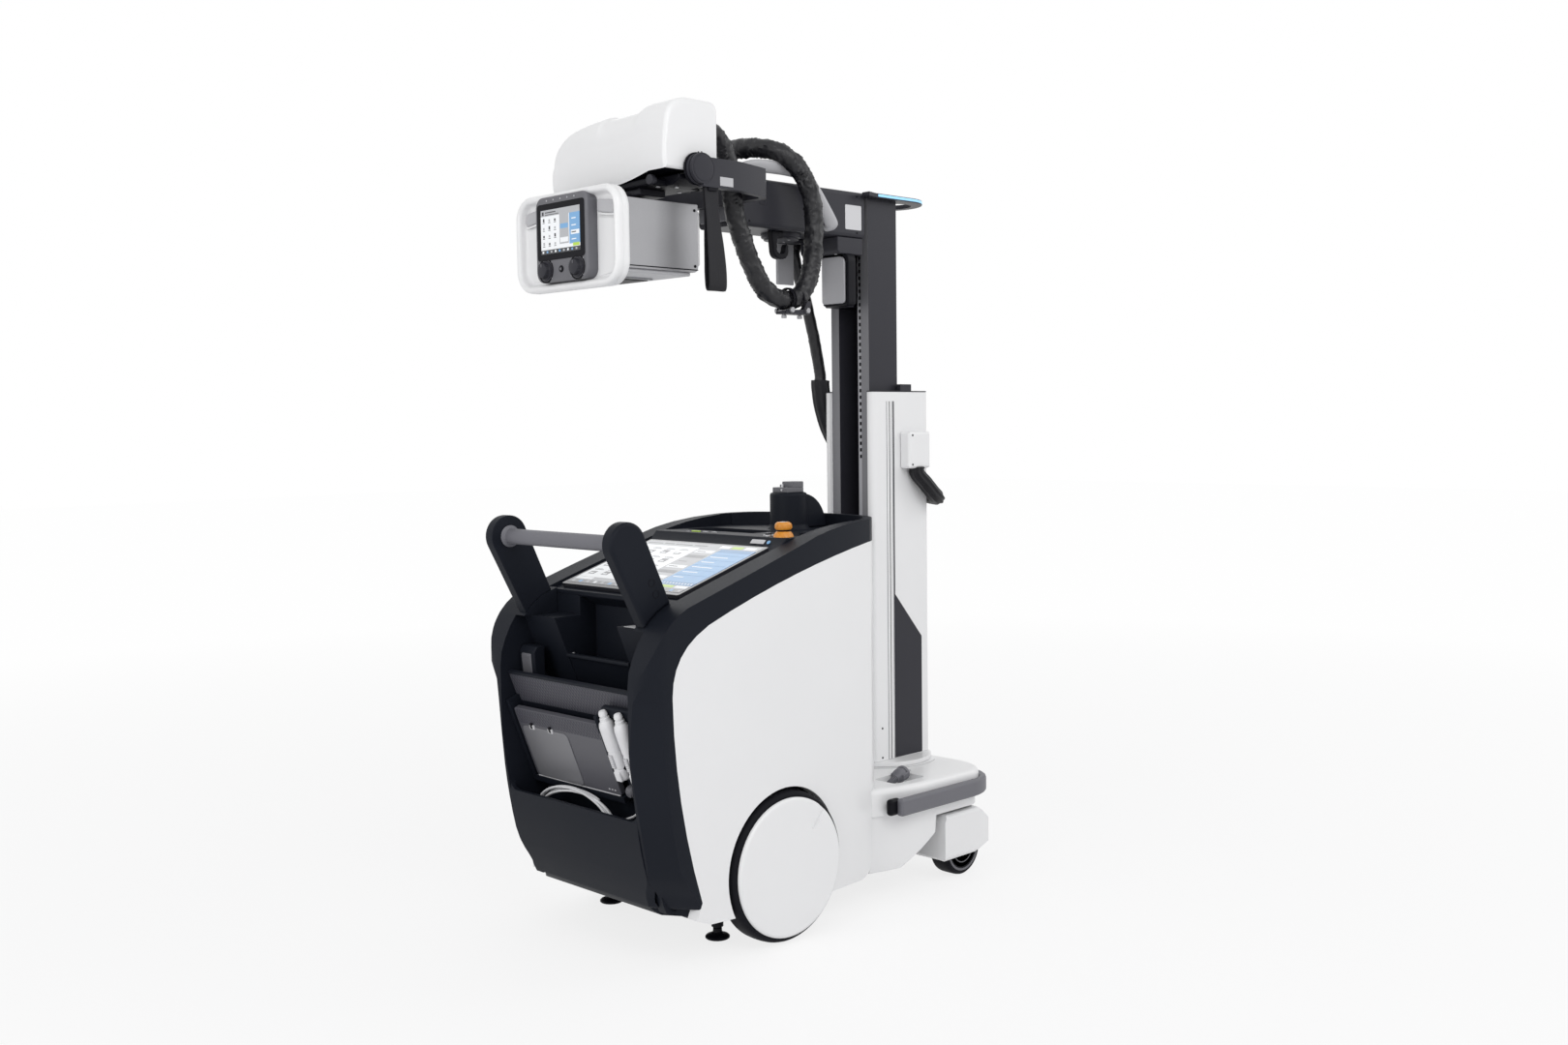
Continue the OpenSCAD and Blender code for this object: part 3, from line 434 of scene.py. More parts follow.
def carved(bm, cutters):
    """bm less each cutter."""
    objects = []
    for k, b in enumerate([bm] + cutters):
        me = bpy.data.meshes.new("carve")
        bmesh.ops.recalc_face_normals(b, faces=b.faces)
        b.to_mesh(me)
        b.free()
        o = bpy.data.objects.new("carve%d" % k, me)
        scene.collection.objects.link(o)
        objects.append(o)
    for c in objects[1:]:
        m = objects[0].modifiers.new("cut", "BOOLEAN")
        m.operation, m.solver, m.object = "DIFFERENCE", "EXACT", c
    bpy.context.view_layer.update()
    got = objects[0].evaluated_get(bpy.context.evaluated_depsgraph_get())
    out = bmesh.new()
    out.from_mesh(got.to_mesh())
    got.to_mesh_clear()
    for o in objects:
        me = o.data
        bpy.data.objects.remove(o)
        bpy.data.meshes.remove(me)
    bmesh.ops.dissolve_limit(out, angle_limit=math.radians(0.4), verts=out.verts, edges=out.edges)
    return out


# ---- tube head ----------------------------------------------------------------------------------
def cover_section(top, low, inset):
    """Outline of the tube cover at one station, (y, z), drawn in by inset."""
    f, b, t, l = -217 + inset, -81 - inset, top - inset, low + inset
    front = [(f + 3, l)] + bez((f + 3, l + 3), (f - 0.5, l + 10), (f, l + 34), 5)
    front += bez((f, l + 40), (f + 2, (l + t) / 2), (f + 4, t - 62), 6) + bez((f + 4, t - 58), (f + 8, t), (f + 68, t), 14)[1:]
    back = bez((b - 17, t), (b, t), (b, t - 17), 10) + bez((b, t - 30), (b, (l + t) / 2), (b, l + 30), 5)
    return front + back + [(b, l + 5), (b - 4, l)]


def cover_top_at(x):
    line = [(-180, 1586), (-177, 1602), (-171, 1613), (-161, 1621.5), (-147, 1628.5), (-130, 1633), (-112, 1636), (-80, 1640),
            (-40, 1642.5), (-33, 1642), (-27, 1638.5), (-22, 1637.5), (20, 1638), (70, 1640), (80, 1642), (88, 1646.5),
            (96, 1649), (110, 1650), (150, 1650), (166, 1649.8), (172, 1649.4), (176, 1648.6), (180, 1647)]
    for (a, p), (b, q) in zip(line, line[1:]):
        if x <= b:
            t = (x - a) / (b - a)
            return p + (q - p) * (t * t * (3 - 2 * t) if b - a < 9 else t)
    return line[-1][1]


def tube_cover():
    def end(r):
        quarter = [math.pi / 2 * i / 8 for i in range(9)]
        return [(-180 + r * (1 - math.cos(q)), r * (1 - math.sin(q))) for q in quarter]
    inner = [-165 + 3.0 * i for i in range(112)]
    stations = end(13.0) + [(x, 0.0) for x in inner] + [(-x, ins) for x, ins in reversed(end(8.0))]
    rings = []
    for x, ins in stations:
        low = 1496 + (0 if x < 40 else 16 * min(1.0, (x - 40) / 90) ** 1.3)
        low += 2 * min(1.0, max(0.0, (-x - 60) / 100))
        rings.append([(x, y, z) for y, z in cover_section(cover_top_at(x), low, ins)])
    bm = rings_mesh(rings)
    p = Piece("head_cover", "head", "white", "black")
    for f in bm.faces:
        if f.calc_center_median().z < 1516 and f.normal.z < -0.9:
            f.material_index = 1
    p.add(bm)
    for x in (150, 158):
        p.lathe([(0, 0.6), (1.6, 0.6), (1.8, -0.5)], (180, -128, 1549 + (x - 150) * 0.1), "x", 1, 12, move(0, x - 154, 0))
    p.done("white_shell", ["tube_cover"])


tube_cover()


def head_parts():
    p = Piece("head_mechanism", "head", "black", "mast", "steel")
    p.box((-132, -210, 1486), (132, -90, 1500), 0, 4)
    p.box((-82, -200, 1472), (-20, -120, 1488), 1, 3)
    p.box((20, -196, 1474), (80, -130, 1488), 1, 3)
    p.lathe([(0, 1456.2), (60, 1456.2), (62, 1459), (62, 1466), (56, 1470), (52, 1479)], (0, -196, 0), "z", 1, 64)
    p.prism([(108, 1506), (172, 1506), (172, 1497), (150, 1487), (112, 1486), (100, 1490)], "y", -175, -108, 0, 3)
    p.prism([(-108, 1502), (-172, 1502), (-172, 1497), (-150, 1487), (-112, 1486), (-100, 1490)], "y", -175, -108, 0, 3)
    for x, y in ((118, -182), (136, -150), (90, -104), (-118, -182)):
        p.lathe([(0, 1484.5), (4, 1484.5), (4.6, 1485.6), (4.6, 1490)], (x, y, 0), "z", 2, 18)
    p.lathe([(0, 0), (9, 0), (10, 1), (10, 8), (7, 8.5), (7, 14)], (128, -212, 1496), "y", 1, 24)
    for s in (-1, 1):
        p.lathe([(0, s * 189), (24, s * 189), (25, s * 188), (25, s * 181.5), (22, s * 180.4), (20, s * 174)],
                (0, -142, 1515), "x", 0, 48)
    p.tube([(92, -92, 1496), (98, -78, 1494), (112, -70, 1492), (126, -78, 1494), (132, -92, 1497)], 4, 14, 0)
    p.tube([(66, -92, 1495), (72, -80, 1493), (84, -74, 1492), (94, -80, 1493), (98, -92, 1495)], 3.2, 14, 0)
    p.done("black_plastic", ["tube_base"])


head_parts()


def collimator():
    p = Piece("collimator_case", "collimator", "steel", "black", "white", "pale")
    section = [(-286 + y, z) for y, z in [(0, 1325), (171, 1325)]]
    pts = [(-286, 1325), (-119, 1325)] + bez((-118, 1325), (-105, 1325), (-105, 1338), 5)
    pts += [(-105, 1456), (-286, 1456)]
    p.prism(pts, "x", -145, 145, 0, 1.6, 2)
    for s in (-1, 1):
        for z in (1337, 1444):
            p.screw((s * 145, -114, z), "x", 1, 3.0, s * 1.0)
        p.box((min(s * 145, s * 145.8), -284, 1329), (max(s * 145, s * 145.8), -107, 1331), 1, 0.2, 1)
    p.box((-138, -290, 1318), (138, -120, 1325.5), 3, 2.5)
    p.box((-60, -240, 1314.5), (60, -150, 1318.5), 0, 1)
    p.box((-52, -234, 1313), (52, -156, 1315), 1, 0.8)
    p.prism([(-136, 1338), (136, 1338), (136, 1446), (-136, 1446)], "y", -106, -90, 2, 7, 4)
    for x in (-100, 100):
        p.screw((x, -90, 1392), "y", 1, 3.0, 1.0)
    p.done("brushed_metal", ["collimator_box"])

    b = Piece("collimator_grip", "collimator", "white", "pale", "black")
    w, h, cz = 324.0, 188.0, 1386.0
    outer = [(9, -284.5), (3.5, -286), (0.8, -289), (0, -293), (0, -299), (1.6, -301.2), (1.6, -302.6), (0, -304.8),
             (0, -309), (0.8, -313.4), (3.4, -316.8), (7, -318), (10.5, -317.2), (13, -314.6), (14.4, -311),
             (15.4, -306), (17.2, -302.6), (21, -301)]
    rings = []
    for inset, y in outer:
        rings.append([(u, y, v + cz) for u, v in rrect(w - 2 * inset, h - 2 * inset, max(4, 46 - inset), 10)])
    b.add(rings_mesh(rings))
    for s in (-1, 1):
        pad = [(s * 90, 1455), (s * 138, 1449), (s * 141, 1434), (s * 137, 1424), (s * 90, 1431)]
        b.prism(pad, "y", -309, -300, 1, 3, 3)
        b.tube([(s * 94, -305, 1428), (s * 118, -306, 1424), (s * 140, -305, 1422)], 2.2, 10, 0)
        b.prism([(s * 88, 1422), (s * 140, 1416), (s * 140, 1330), (s * 122, 1316), (s * 88, 1312)], "y", -303, -300.4, 0, 1.0, 2)
    b.done("white_shell", ["bezel"])

    c = Piece("collimator_panel", "collimator", "grey", "black", "ui_white", "ui_grey", "ui_blue", "ui_green", "ui_dark",
              "pale")
    rings = []
    for inset, y in ((0, -300), (0, -321), (0.8, -324), (2.6, -325.6), (5, -326)):
        rings.append([(u, y, v + 1390) for u, v in rrect(164 - 2 * inset, 164 - 2 * inset, 20 - inset * 0.6, 8)])
    c.add(rings_mesh(rings))
    c.pill(150, 108, 7, "y", (0, -327, 1404), 2, 1, 0.5)

    def ui(u0, v0, u1, v1, look, lift=0.25):
        c.box((u0, -327.0 - lift, v0), (u1, -326.6, v1), look, 0)
    ui(-62, 1362, 62, 1446, 2)
    ui(-62, 1434, 62, 1446, 3, 0.3)
    ui(-62, 1362, 62, 1370, 6, 0.3)
    for i in range(9):
        ui(-58 + i * 13.2, 1364, -53 + i * 13.2, 1368, (2, 4, 3)[i % 3], 0.36)
    ui(-2, 1378, 27, 1434, 3, 0.32)
    ui(29, 1376, 62, 1434, 4, 0.32)
    for i in range(4):
        ui(0, 1381 + i * 13, 25, 1390 + i * 13, (2, 3, 4, 3)[i], 0.36)
    for i in range(4):
        ui(34, 1380 + i * 13, 60, 1388 + i * 13, (4, 2, 4, 4)[i], 0.4)
        ui(36, 1383 + i * 13, 50, 1385 + i * 13, 2 if i != 1 else 6, 0.45)
    ui(40, 1371, 60, 1377, 5, 0.4)
    ui(-2, 1371, 16, 1376, 2, 0.36)
    ui(18, 1371, 36, 1376, 2, 0.36)
    ui(-58, 1436, -52, 1443, 6, 0.34)
    ui(-48, 1440, -14, 1442, 6, 0.34)
    ui(-48, 1436, -4, 1437.4, 6, 0.34)
    for i in range(3):
        for j in range(4):
            u, v = -56 + i * 18, 1376 + j * 15
            ui(u, v, u + 7, v + 1.2, 6, 0.3)
            ui(u + 1, v + 2.5, u + 6, v + (7 if (i + j) % 3 else 9), 6 if (i + j) % 2 else 3, 0.3)
    for i in range(5):
        c.lathe([(0, -326.5), (1.5, -326.5), (1.7, -326), (1.7, -325)], (-44 + i * 22, 0, 1464), "y", 7, 12)
    for x in (-50, 50):
        c.lathe([(20.5, -324.5), (20.5, -326.3), (21.5, -327.2), (23.5, -327.2), (24.2, -326.3), (24.2, -324.5)],
                (x, 0, 1331), "y", 1, 48)
        for a in range(0, 360, 90):
            c.lathe([(0, -326.6), (0.9, -326.6), (1, -325)],
                    (x + 27 * math.cos(math.radians(a + 45)), 0, 1331 + 27 * math.sin(math.radians(a + 45)) * 0.8), "y", 7, 10)
    c.lathe([(0, -328), (5.5, -328), (6.6, -327.2), (6.8, -325)], (0, 0, 1331), "y", 1, 32)
    c.lathe([(0, -328.3), (2.6, -328.3), (3, -327)], (0, 0, 1331), "y", 0, 20)
    c.done("dark_trim", ["control_panel"])

    k = Piece("collimator_knobs", "collimator", "mast", "grey")
    for x in (-50, 50):
        k.lathe([(0, -337.5), (10, -337.5), (13.2, -336.6), (14.4, -334.4), (15.2, -330), (16.2, -328.4), (18.6, -328),
                 (19.2, -326), (19.2, -322)], (x, 0, 1331), "y", 0, 64)
        for a in range(0, 360, 15):
            t = math.radians(a)
            k.tube([(x + 14.9 * math.cos(t), -336, 1331 + 14.9 * math.sin(t)),
                    (x + 15.6 * math.cos(t), -330, 1331 + 15.6 * math.sin(t))], 0.55, 6, 0)
        k.box((x - 1, -338.0, 1337), (x + 1, -337.3, 1343), 1, 0.2, 1)
    k.done("black_plastic", ["knobs"])


collimator()


# ---- yoke, strap, grab rod ----------------------------------------------------------------------
def yoke_parts():
    p = Piece("yoke_band", "fork", "mast", "black", "pale", "steel")
    p.add(copy_of("yoke"), 0, 2.4, 3)
    for s in (-1, 1):
        p.lathe([(0, s * 206.2), (23, s * 206.2), (24.4, s * 205.6), (25, s * 204), (26.4, s * 204), (27, s * 205.4),
                 (28.4, s * 205.4), (29, s * 204.4), (29, s * 188.2), (27.5, s * 187.6)], (0, -142, 1515), "x", 0, 64)
        p.lathe([(27.6, s * 198), (29.6, s * 198), (29.6, s * 196.4), (27.6, s * 196.4)], (0, -142, 1515), "x", 1, 64)
        p.lathe([(0, s * 188.4), (31, s * 188.4), (31.6, s * 187.6), (31.6, s * 184), (31, s * 183.2), (0, s * 183.2)],
                (0, -142, 1515), "x", 1, 64)
    p.box((204.6, -100, 1486), (205.5, -66, 1503), 2, 0.3, 1)
    for y, z in ((-98, 1472),):
        p.box((188, -128, 1474), (204, -106, 1484), 1, 2)
    for y in (-123, -111):
        p.screw((196, y, 1473), "z", 3, 3, -1)
    p.done("dark_metal", ["yoke"])

    s = Piece("head_strap", "fork", "web", "black")
    route = [(0, 1486), (0.4, 1470), (1, 1440), (2.2, 1400), (3.4, 1360), (4.2, 1330), (5, 1304), (6.5, 1291),
             (10, 1286), (14, 1288), (16.5, 1298), (16.4, 1330), (13.4, 1370), (9, 1410), (5.6, 1444), (4.4, 1470), (4.2, 1486)]
    line = even_line(smooth_line([(x, 0, z) for x, z in route], 5), 4)
    total = len(line)
    rings = []
    for i, q in enumerate(line):
        z = q.z
        half = 17.5 + 4.5 * max(0.0, min(1.0, (1420 - z) / 100)) - 1.5 * max(0.0, 1 - abs(z - 1430) / 50)
        mid = -118 + 3.0 * max(0.0, min(1.0, (1440 - z) / 140))
        d = (line[min(i + 1, total - 1)] - line[max(i - 1, 0)]).normalized()
        nrm = Vector((d.z, 0, -d.x))
        ring = []
        for u, t in ((-1, -1), (-0.86, -1.25), (-0.3, -1.0), (0.3, -1.0), (0.86, -1.25), (1, -1), (1.02, 0), (1, 1),
                     (0.86, 1.25), (0.3, 1.0), (-0.3, 1.0), (-0.86, 1.25), (-1, 1), (-1.02, 0)):
            wave = 0.5 * math.sin(z * 0.06 + u * 2)
            ring.append(Vector((195, mid, 0)) + Vector((q.x, half * u, z)) + nrm * (1.25 * t + wave * 0.3))
        rings.append(ring)
    s.add(rings_mesh(rings))
    s.done("hose", ["strap"])

    g = Piece("grab_handle", "lift", "pale", "black")
    route = [(50, 96, 1541), (50, 97, 1550), (55, 103, 1559), (66, 122, 1564.5), (77, 150, 1565), (79, 200, 1565),
             (79, 236, 1562), (79, 262, 1551), (79, 290, 1522), (79, 320, 1486), (78, 336, 1467), (75, 343, 1460),
             (69, 345, 1457.5), (60, 345, 1457)]
    g.add(rings_mesh(sweep(even_line(smooth_line(route, 8), 4), 14.5, 20, 0.62)))
    g.lathe([(0, 1545.5), (17, 1545.5), (18, 1544.5), (18, 1541.5)], (50, 96, 0), "z", 1, 32)
    g.done("pale_plastic", ["grab_rod"])


yoke_parts()


# ---- arm and carriage ---------------------------------------------------------------------------
def arm_parts():
    p = Piece("arm_case", "lift", "mast", "black", "label", "steel")
    p.add(copy_of("arm_outer"), 0, 1.4, 2)
    p.pill(52, 54, 3, "x", (59.8, 428, 1485), 0.8, 2, 0.2, 1)
    p.lathe([(0, 61.5), (10, 61.5), (12, 60.6), (12.6, 59.5)], (0, 150, 1500), "x", 0, 36)
    p.box((-58, 110, 1542.4), (58, 114, 1543.6), 1, 0.3, 1)
    for y in (112, 440):
        for z in (1452, 1532):
            p.screw((60, y, z), "x", 1, 2.4, 0.6)
            p.screw((-60, y, z), "x", 1, 2.4, -0.6)
    p.done("dark_metal", ["arm_outer"])

    c = Piece("carriage_block", "lift", "mast", "black", "pad", "steel")
    c.prism([(379, 1441), (461, 1441), (461, 1404), (386, 1404), (379, 1411)], "x", -58, 58, 0, 2.5)
    profile = [(404, 1291), (430, 1291), (431, 1407), (404, 1407)]
    block = bez((-14, 1300), (-14, 1291), (-4, 1291), 4) + [(54, 1291)] + bez((56, 1291), (66, 1291), (66, 1301), 4)
    block += [(66, 1380)] + bez((66, 1386), (66, 1408), (44, 1408), 8) + [(-14, 1408)]
    c.prism(block, "y", 404, 430, 1, 3, 3)
    skin = bez((-11, 1304), (-11, 1296), (-3, 1296), 4) + [(48, 1296)] + bez((50, 1296), (58, 1296), (58, 1304), 4)
    skin += [(58, 1376)] + bez((58, 1382), (58, 1398), (42, 1400), 8) + [(-11, 1400)]
    c.prism(skin, "y", 398.4, 404.5, 2, 2, 3)
    c.prism([(398.6, 1398), (404, 1398), (404, 1404), (428, 1410), (440, 1412), (440, 1406), (420, 1402), (404, 1396)],
            "x", -10, 50, 1, 1.0, 2)
    c.box((-32, 430, 1291), (30, 461, 1406), 0, 3)
    c.box((-33.7, 459, 1291), (4, 519, 1430), 1, 2)
    c.prism([(318, 1342), (370, 1342), (370, 1441), (318, 1441)], "x", -76, -69.5, 2, 2.2)
    c.box((-70, 318, 1432), (-38, 370, 1441), 0, 1.5)
    c.lathe([(0, 1427), (36, 1427), (38, 1428), (38, 1431), (42.5, 1432.4), (44, 1435), (44, 1441.2)], (0, 262, 0), "z", 0, 64)
    for a in range(0, 360, 120):
        c.lathe([(0, 1426), (2.6, 1426), (3, 1427.4)],
                (24 * math.cos(math.radians(a)), 262 + 24 * math.sin(math.radians(a)), 0), "z", 3, 14)
    hook = [(196, 1441), (232, 1441), (232, 1430), (214, 1428), (212, 1404)]
    hook += bez((212, 1402), (214, 1394), (224, 1394), 4) + bez((226, 1394), (236, 1395), (236, 1408), 4)
    hook += [(240, 1416), (246, 1412)] + bez((246, 1404), (246, 1382), (224, 1382), 6) + bez((222, 1382), (200, 1382), (200, 1404), 6)
    c.prism(hook, "x", 24, 40, 1, 2.5)
    for x, y in ((-40, 392), (40, 392), (-40, 446), (40, 446)):
        c.lathe([(0, 1402.6), (3.4, 1402.6), (3.8, 1404), (3.8, 1406)], (x, y, 0), "z", 3, 16)
    c.done("dark_metal", ["carriage"])

    f = Piece("loop_clamp", "fork", "black", "steel", "mast")
    f.box((100, 146, 1258), (126, 214, 1264), 2, 1.5)
    f.prism([(146, 1258), (214, 1258), (218, 1286), (206, 1286), (196, 1268), (160, 1266), (146, 1266)], "x", 128, 134, 2, 1.5)
    for y in (158, 204):
        f.lathe([(0, 139.5), (5.2, 139.5), (6, 138.5), (6, 134), (3, 134), (3, 96), (6, 96), (6, 90), (0, 90)],
                (0, y, 1266), "x", 1, 20)
        f.lathe([(0, 1250), (5, 1250), (5.6, 1251), (5.6, 1256), (3, 1257), (3, 1264)], (112, y, 0), "z", 1, 18)
    for y in (166, 172, 196):
        f.add(rings_mesh(sweep([Vector((112 + 23.4 * math.cos(a), y, 1288 + 23.4 * math.sin(a)))
                                for a in (2 * math.pi * i / 40 for i in range(41))], 2.2, 8)), 0)
    f.done("black_plastic")


arm_parts()


def mast_parts():
    p = Piece("lamp_crown", "mast", "mast", "black", "lamp")
    p.add(copy_of("lamp_ring"), 0, 1.6, 2)
    outline = [(81, 488), (81, 610)]
    outline += [(81 * math.cos(a), 610 + 79.6 * math.sin(a)) for a in (math.pi * i / 36 for i in range(1, 36))]
    outline += [(-81, 610), (-81, 488)]
    band = [[(x, y, 1534.4) for x, y in outline], [(x, y, 1540.2) for x, y in outline]]
    inner = [[(x * 0.965, 610 + (y - 610) * 0.965, z) for x, y, z in row] for row in band]
    rings = [[band[0][i], band[1][i], inner[1][i], inner[0][i]] for i in range(len(outline))]
    p.add(rings_mesh(rings), 2, 1.0, 2)
    p.prism([(-60, 486), (60, 486), (60, 572), (-60, 572)], "z", 1542, 1545, 0, 1.0)
    p.done("dark_metal", ["lamp_ring"])


mast_parts()


# ---- console ------------------------------------------------------------------------------------
SCREEN = turn("X", 17.5, (0, -208, 697))
BAY = turn("X", 21, (0, -240, 300))


def console():
    p = Piece("screen_display", "cart", "glass", "ui_white", "ui_grey", "ui_blue", "ui_deep", "ui_green", "ui_dark",
              "ui_mid")
    p.prism(rrect(372, 254, 5), "z", 0.2, 9, 0, 1.2, 2, turn("X", 17.5, (0, -208, 697)) @ move(0, 131, 0))

    def ui(u0, v0, u1, v1, look, lift=0.3):
        p.box((u0, v0, 8.8), (u1, v1, 9 + lift), look, 0, by=SCREEN)
    ui(-178, 14, 178, 250, 1)
    ui(-178, 14, 178, 30, 7, 0.5)
    ui(-178, 230, 178, 250, 2, 0.5)
    ui(8, 46, 74, 229, 2, 0.45)
    ui(75, 46, 178, 229, 3, 0.45)
    ui(75, 214, 178, 229, 4, 0.55)
    ui(75, 46, 178, 62, 4, 0.55)
    ui(-178, 31, 178, 45, 2, 0.4)
    for u0, u1, look in ((-30, 14, 1), (20, 66, 1), (75, 134, 5), (140, 174, 1), (-174, -120, 1)):
        ui(u0, 33, u1, 43, look, 0.6)
    for i in range(15):
        u = -170 + i * 24
        ui(u, 18, u + 9, 26, (2, 3, 2, 1)[i % 4], 0.7)
    ui(96, 234, 128, 246, 5, 0.7)
    ui(60, 234, 90, 246, 1, 0.7)
    ui(134, 234, 166, 246, 1, 0.7)
    for k, (u, w) in enumerate(((-170, 46), (-116, 30), (-80, 52), (-20, 40))):
        ui(u, 238, u + w, 241 + (k % 2), 7, 0.7)
    for i in range(5):
        ui(80, 198 - i * 26, 172, 199 - i * 26, 4, 0.6)
        ui(84, 186 - i * 26, 84 + (52, 38, 60, 44, 30)[i], 189 - i * 26, 1, 0.6)
    for i in range(11):
        ui(80 + i * 9, 51, 83 + i * 9, 56, 1, 0.7)
    for i in range(6):
        ui(13, 205 - i * 27, 69, 219 - i * 27, (1, 7, 2, 1, 7, 1)[i], 0.55)
        ui(18, 210 - i * 27, 44, 213 - i * 27, 7 if i % 3 else 6, 0.65)
    for i in range(4):
        for j in range(4):
            u, v = -166 + i * 43, 60 + j * 43
            look = 3 if (i, j) in ((1, 2), (3, 1)) else 7
            ui(u, v, u + 20, v + (13, 17, 9, 15)[(i + j) % 4], look, 0.5)
            ui(u + 3, v + 3, u + 15, v + 7, 1, 0.6)
            ui(u - 2, v + 22, u + 26, v + 24, 7, 0.5)
            ui(u, v + 27, u + 18, v + 28.5, 2, 0.5)
    p.done("screen_glass", ["screen"])

    d = Piece("deck_controls", "cart", "orange", "steel", "black", "ui_green", "label", "pale", "ui_blue", "dark")
    d.lathe([(0, 799.6), (21, 799.6), (21, 801), (20, 803), (16.4, 809.6), (14.6, 811.4), (0, 811.4)], (172, 90, 0), "z", 0, 48)
    d.lathe([(0, 811), (13.4, 811), (13.4, 815.6), (0, 815.6)], (172, 90, 0), "z", 2, 40)
    d.lathe([(0, 815), (15.4, 815), (17, 817), (17.2, 824), (16.2, 828), (13, 830.4), (11, 830.8), (0, 830.8)],
            (172, 90, 0), "z", 0, 48)
    d.box((167, 84, 830.2), (177, 96, 831.2), 4, 0.6)
    for a in range(0, 360, 20):
        t = math.radians(a)
        d.tube([(172 + 17.0 * math.cos(t), 90 + 17.0 * math.sin(t), 818.5),
                (172 + 16.6 * math.cos(t), 90 + 16.6 * math.sin(t), 825.5)], 1.1, 8, 0)
        d.tube([(172 + 20.2 * math.cos(t), 90 + 20.2 * math.sin(t), 802), (172 + 17 * math.cos(t), 90 + 17 * math.sin(t), 808)],
               0.9, 6, 0)
    d.pill(26, 9, 4.4, "z", (-96, 88, 800), 2.2, 3, 0.8)
    for x in (-66, -38):
        d.pill(14, 8, 3.9, "z", (x, 88, 800), 2.0, 5, 0.7)
    d.prism([(-126, 84.5), (-117, 84.5), (-121.5, 92)], "z", 800, 800.5, 4, 0)
    d.lathe([(0, 800), (11.5, 800), (11.5, 802), (10.4, 803.4), (8.2, 803.4), (7.8, 802), (0, 802)], (130, 88, 0), "z", 1, 40)
    d.lathe([(0, 802), (6.8, 802), (6.8, 805), (6, 805.6), (0, 805.6)], (130, 88, 0), "z", 2, 32)
    d.box((129, 82.5, 805), (131, 93.5, 807.2), 1, 0.5)
    slope = turn("X", 45, (0, 44, 778))
    d.pill(40, 11, 1.5, "z", (132, 17, 0.2), 0.9, 4, 0.2, by=slope)
    d.pill(9, 9, 4.2, "z", (164, 17, 0.2), 1.2, 6, 0.3, by=slope)
    d.box((28, 131, 776), (112, 203, 799), 7, 5, 4)
    d.box((-176, 131, 775.2), (-150, 200, 781), 7, 3)
    d.lathe([(0, 799.9), (47, 799.9), (46, 801.4), (43, 804.6), (41.4, 810), (0, 810)], (0, 275, 0), "z", 7, 72)
    d.done("orange_plastic", ["console_controls"])

    k = Piece("arm_dock", "cart", "dark", "grey", "black", "label")
    k.lathe([(0, 880), (35, 880), (38, 879.4), (40.4, 877), (41, 873.6), (41, 806), (42.4, 801), (44, 800)], (0, 275, 0), "z", 0, 96)
    k.lathe([(33.6, 880), (33.6, 880.9), (34.6, 880.9), (34.6, 880)], (0, 275, 0), "z", 2, 72)
    fin = [(300, 801), (381, 801)] + [(309 + 72 * math.cos(a), 801 + 75 * math.sin(a)) for a in
                                      (math.pi / 2 * i / 16 for i in range(1, 17))] + [(300, 876)]
    k.prism(fin, "x", -12, 12, 0, 2.2)
    k.box((-24, 249, 879.6), (24, 299, 891.5), 1, 2)
    k.box((-10, 265, 890.5), (24, 299, 904), 1, 2)
    k.box((-22, 270, 891), (-11, 294, 897), 2, 1)
    k.lathe([(0, 886), (3, 886), (3, 898), (0, 898)], (-2, 258, 0), "z", 3, 16)
    k.lathe([(0, 262), (2.4, 262), (2.4, 247.5), (0, 247.5)], (6, 0, 886), "y", 3, 14)
    k.done("dark_trim", ["dock"])


console()


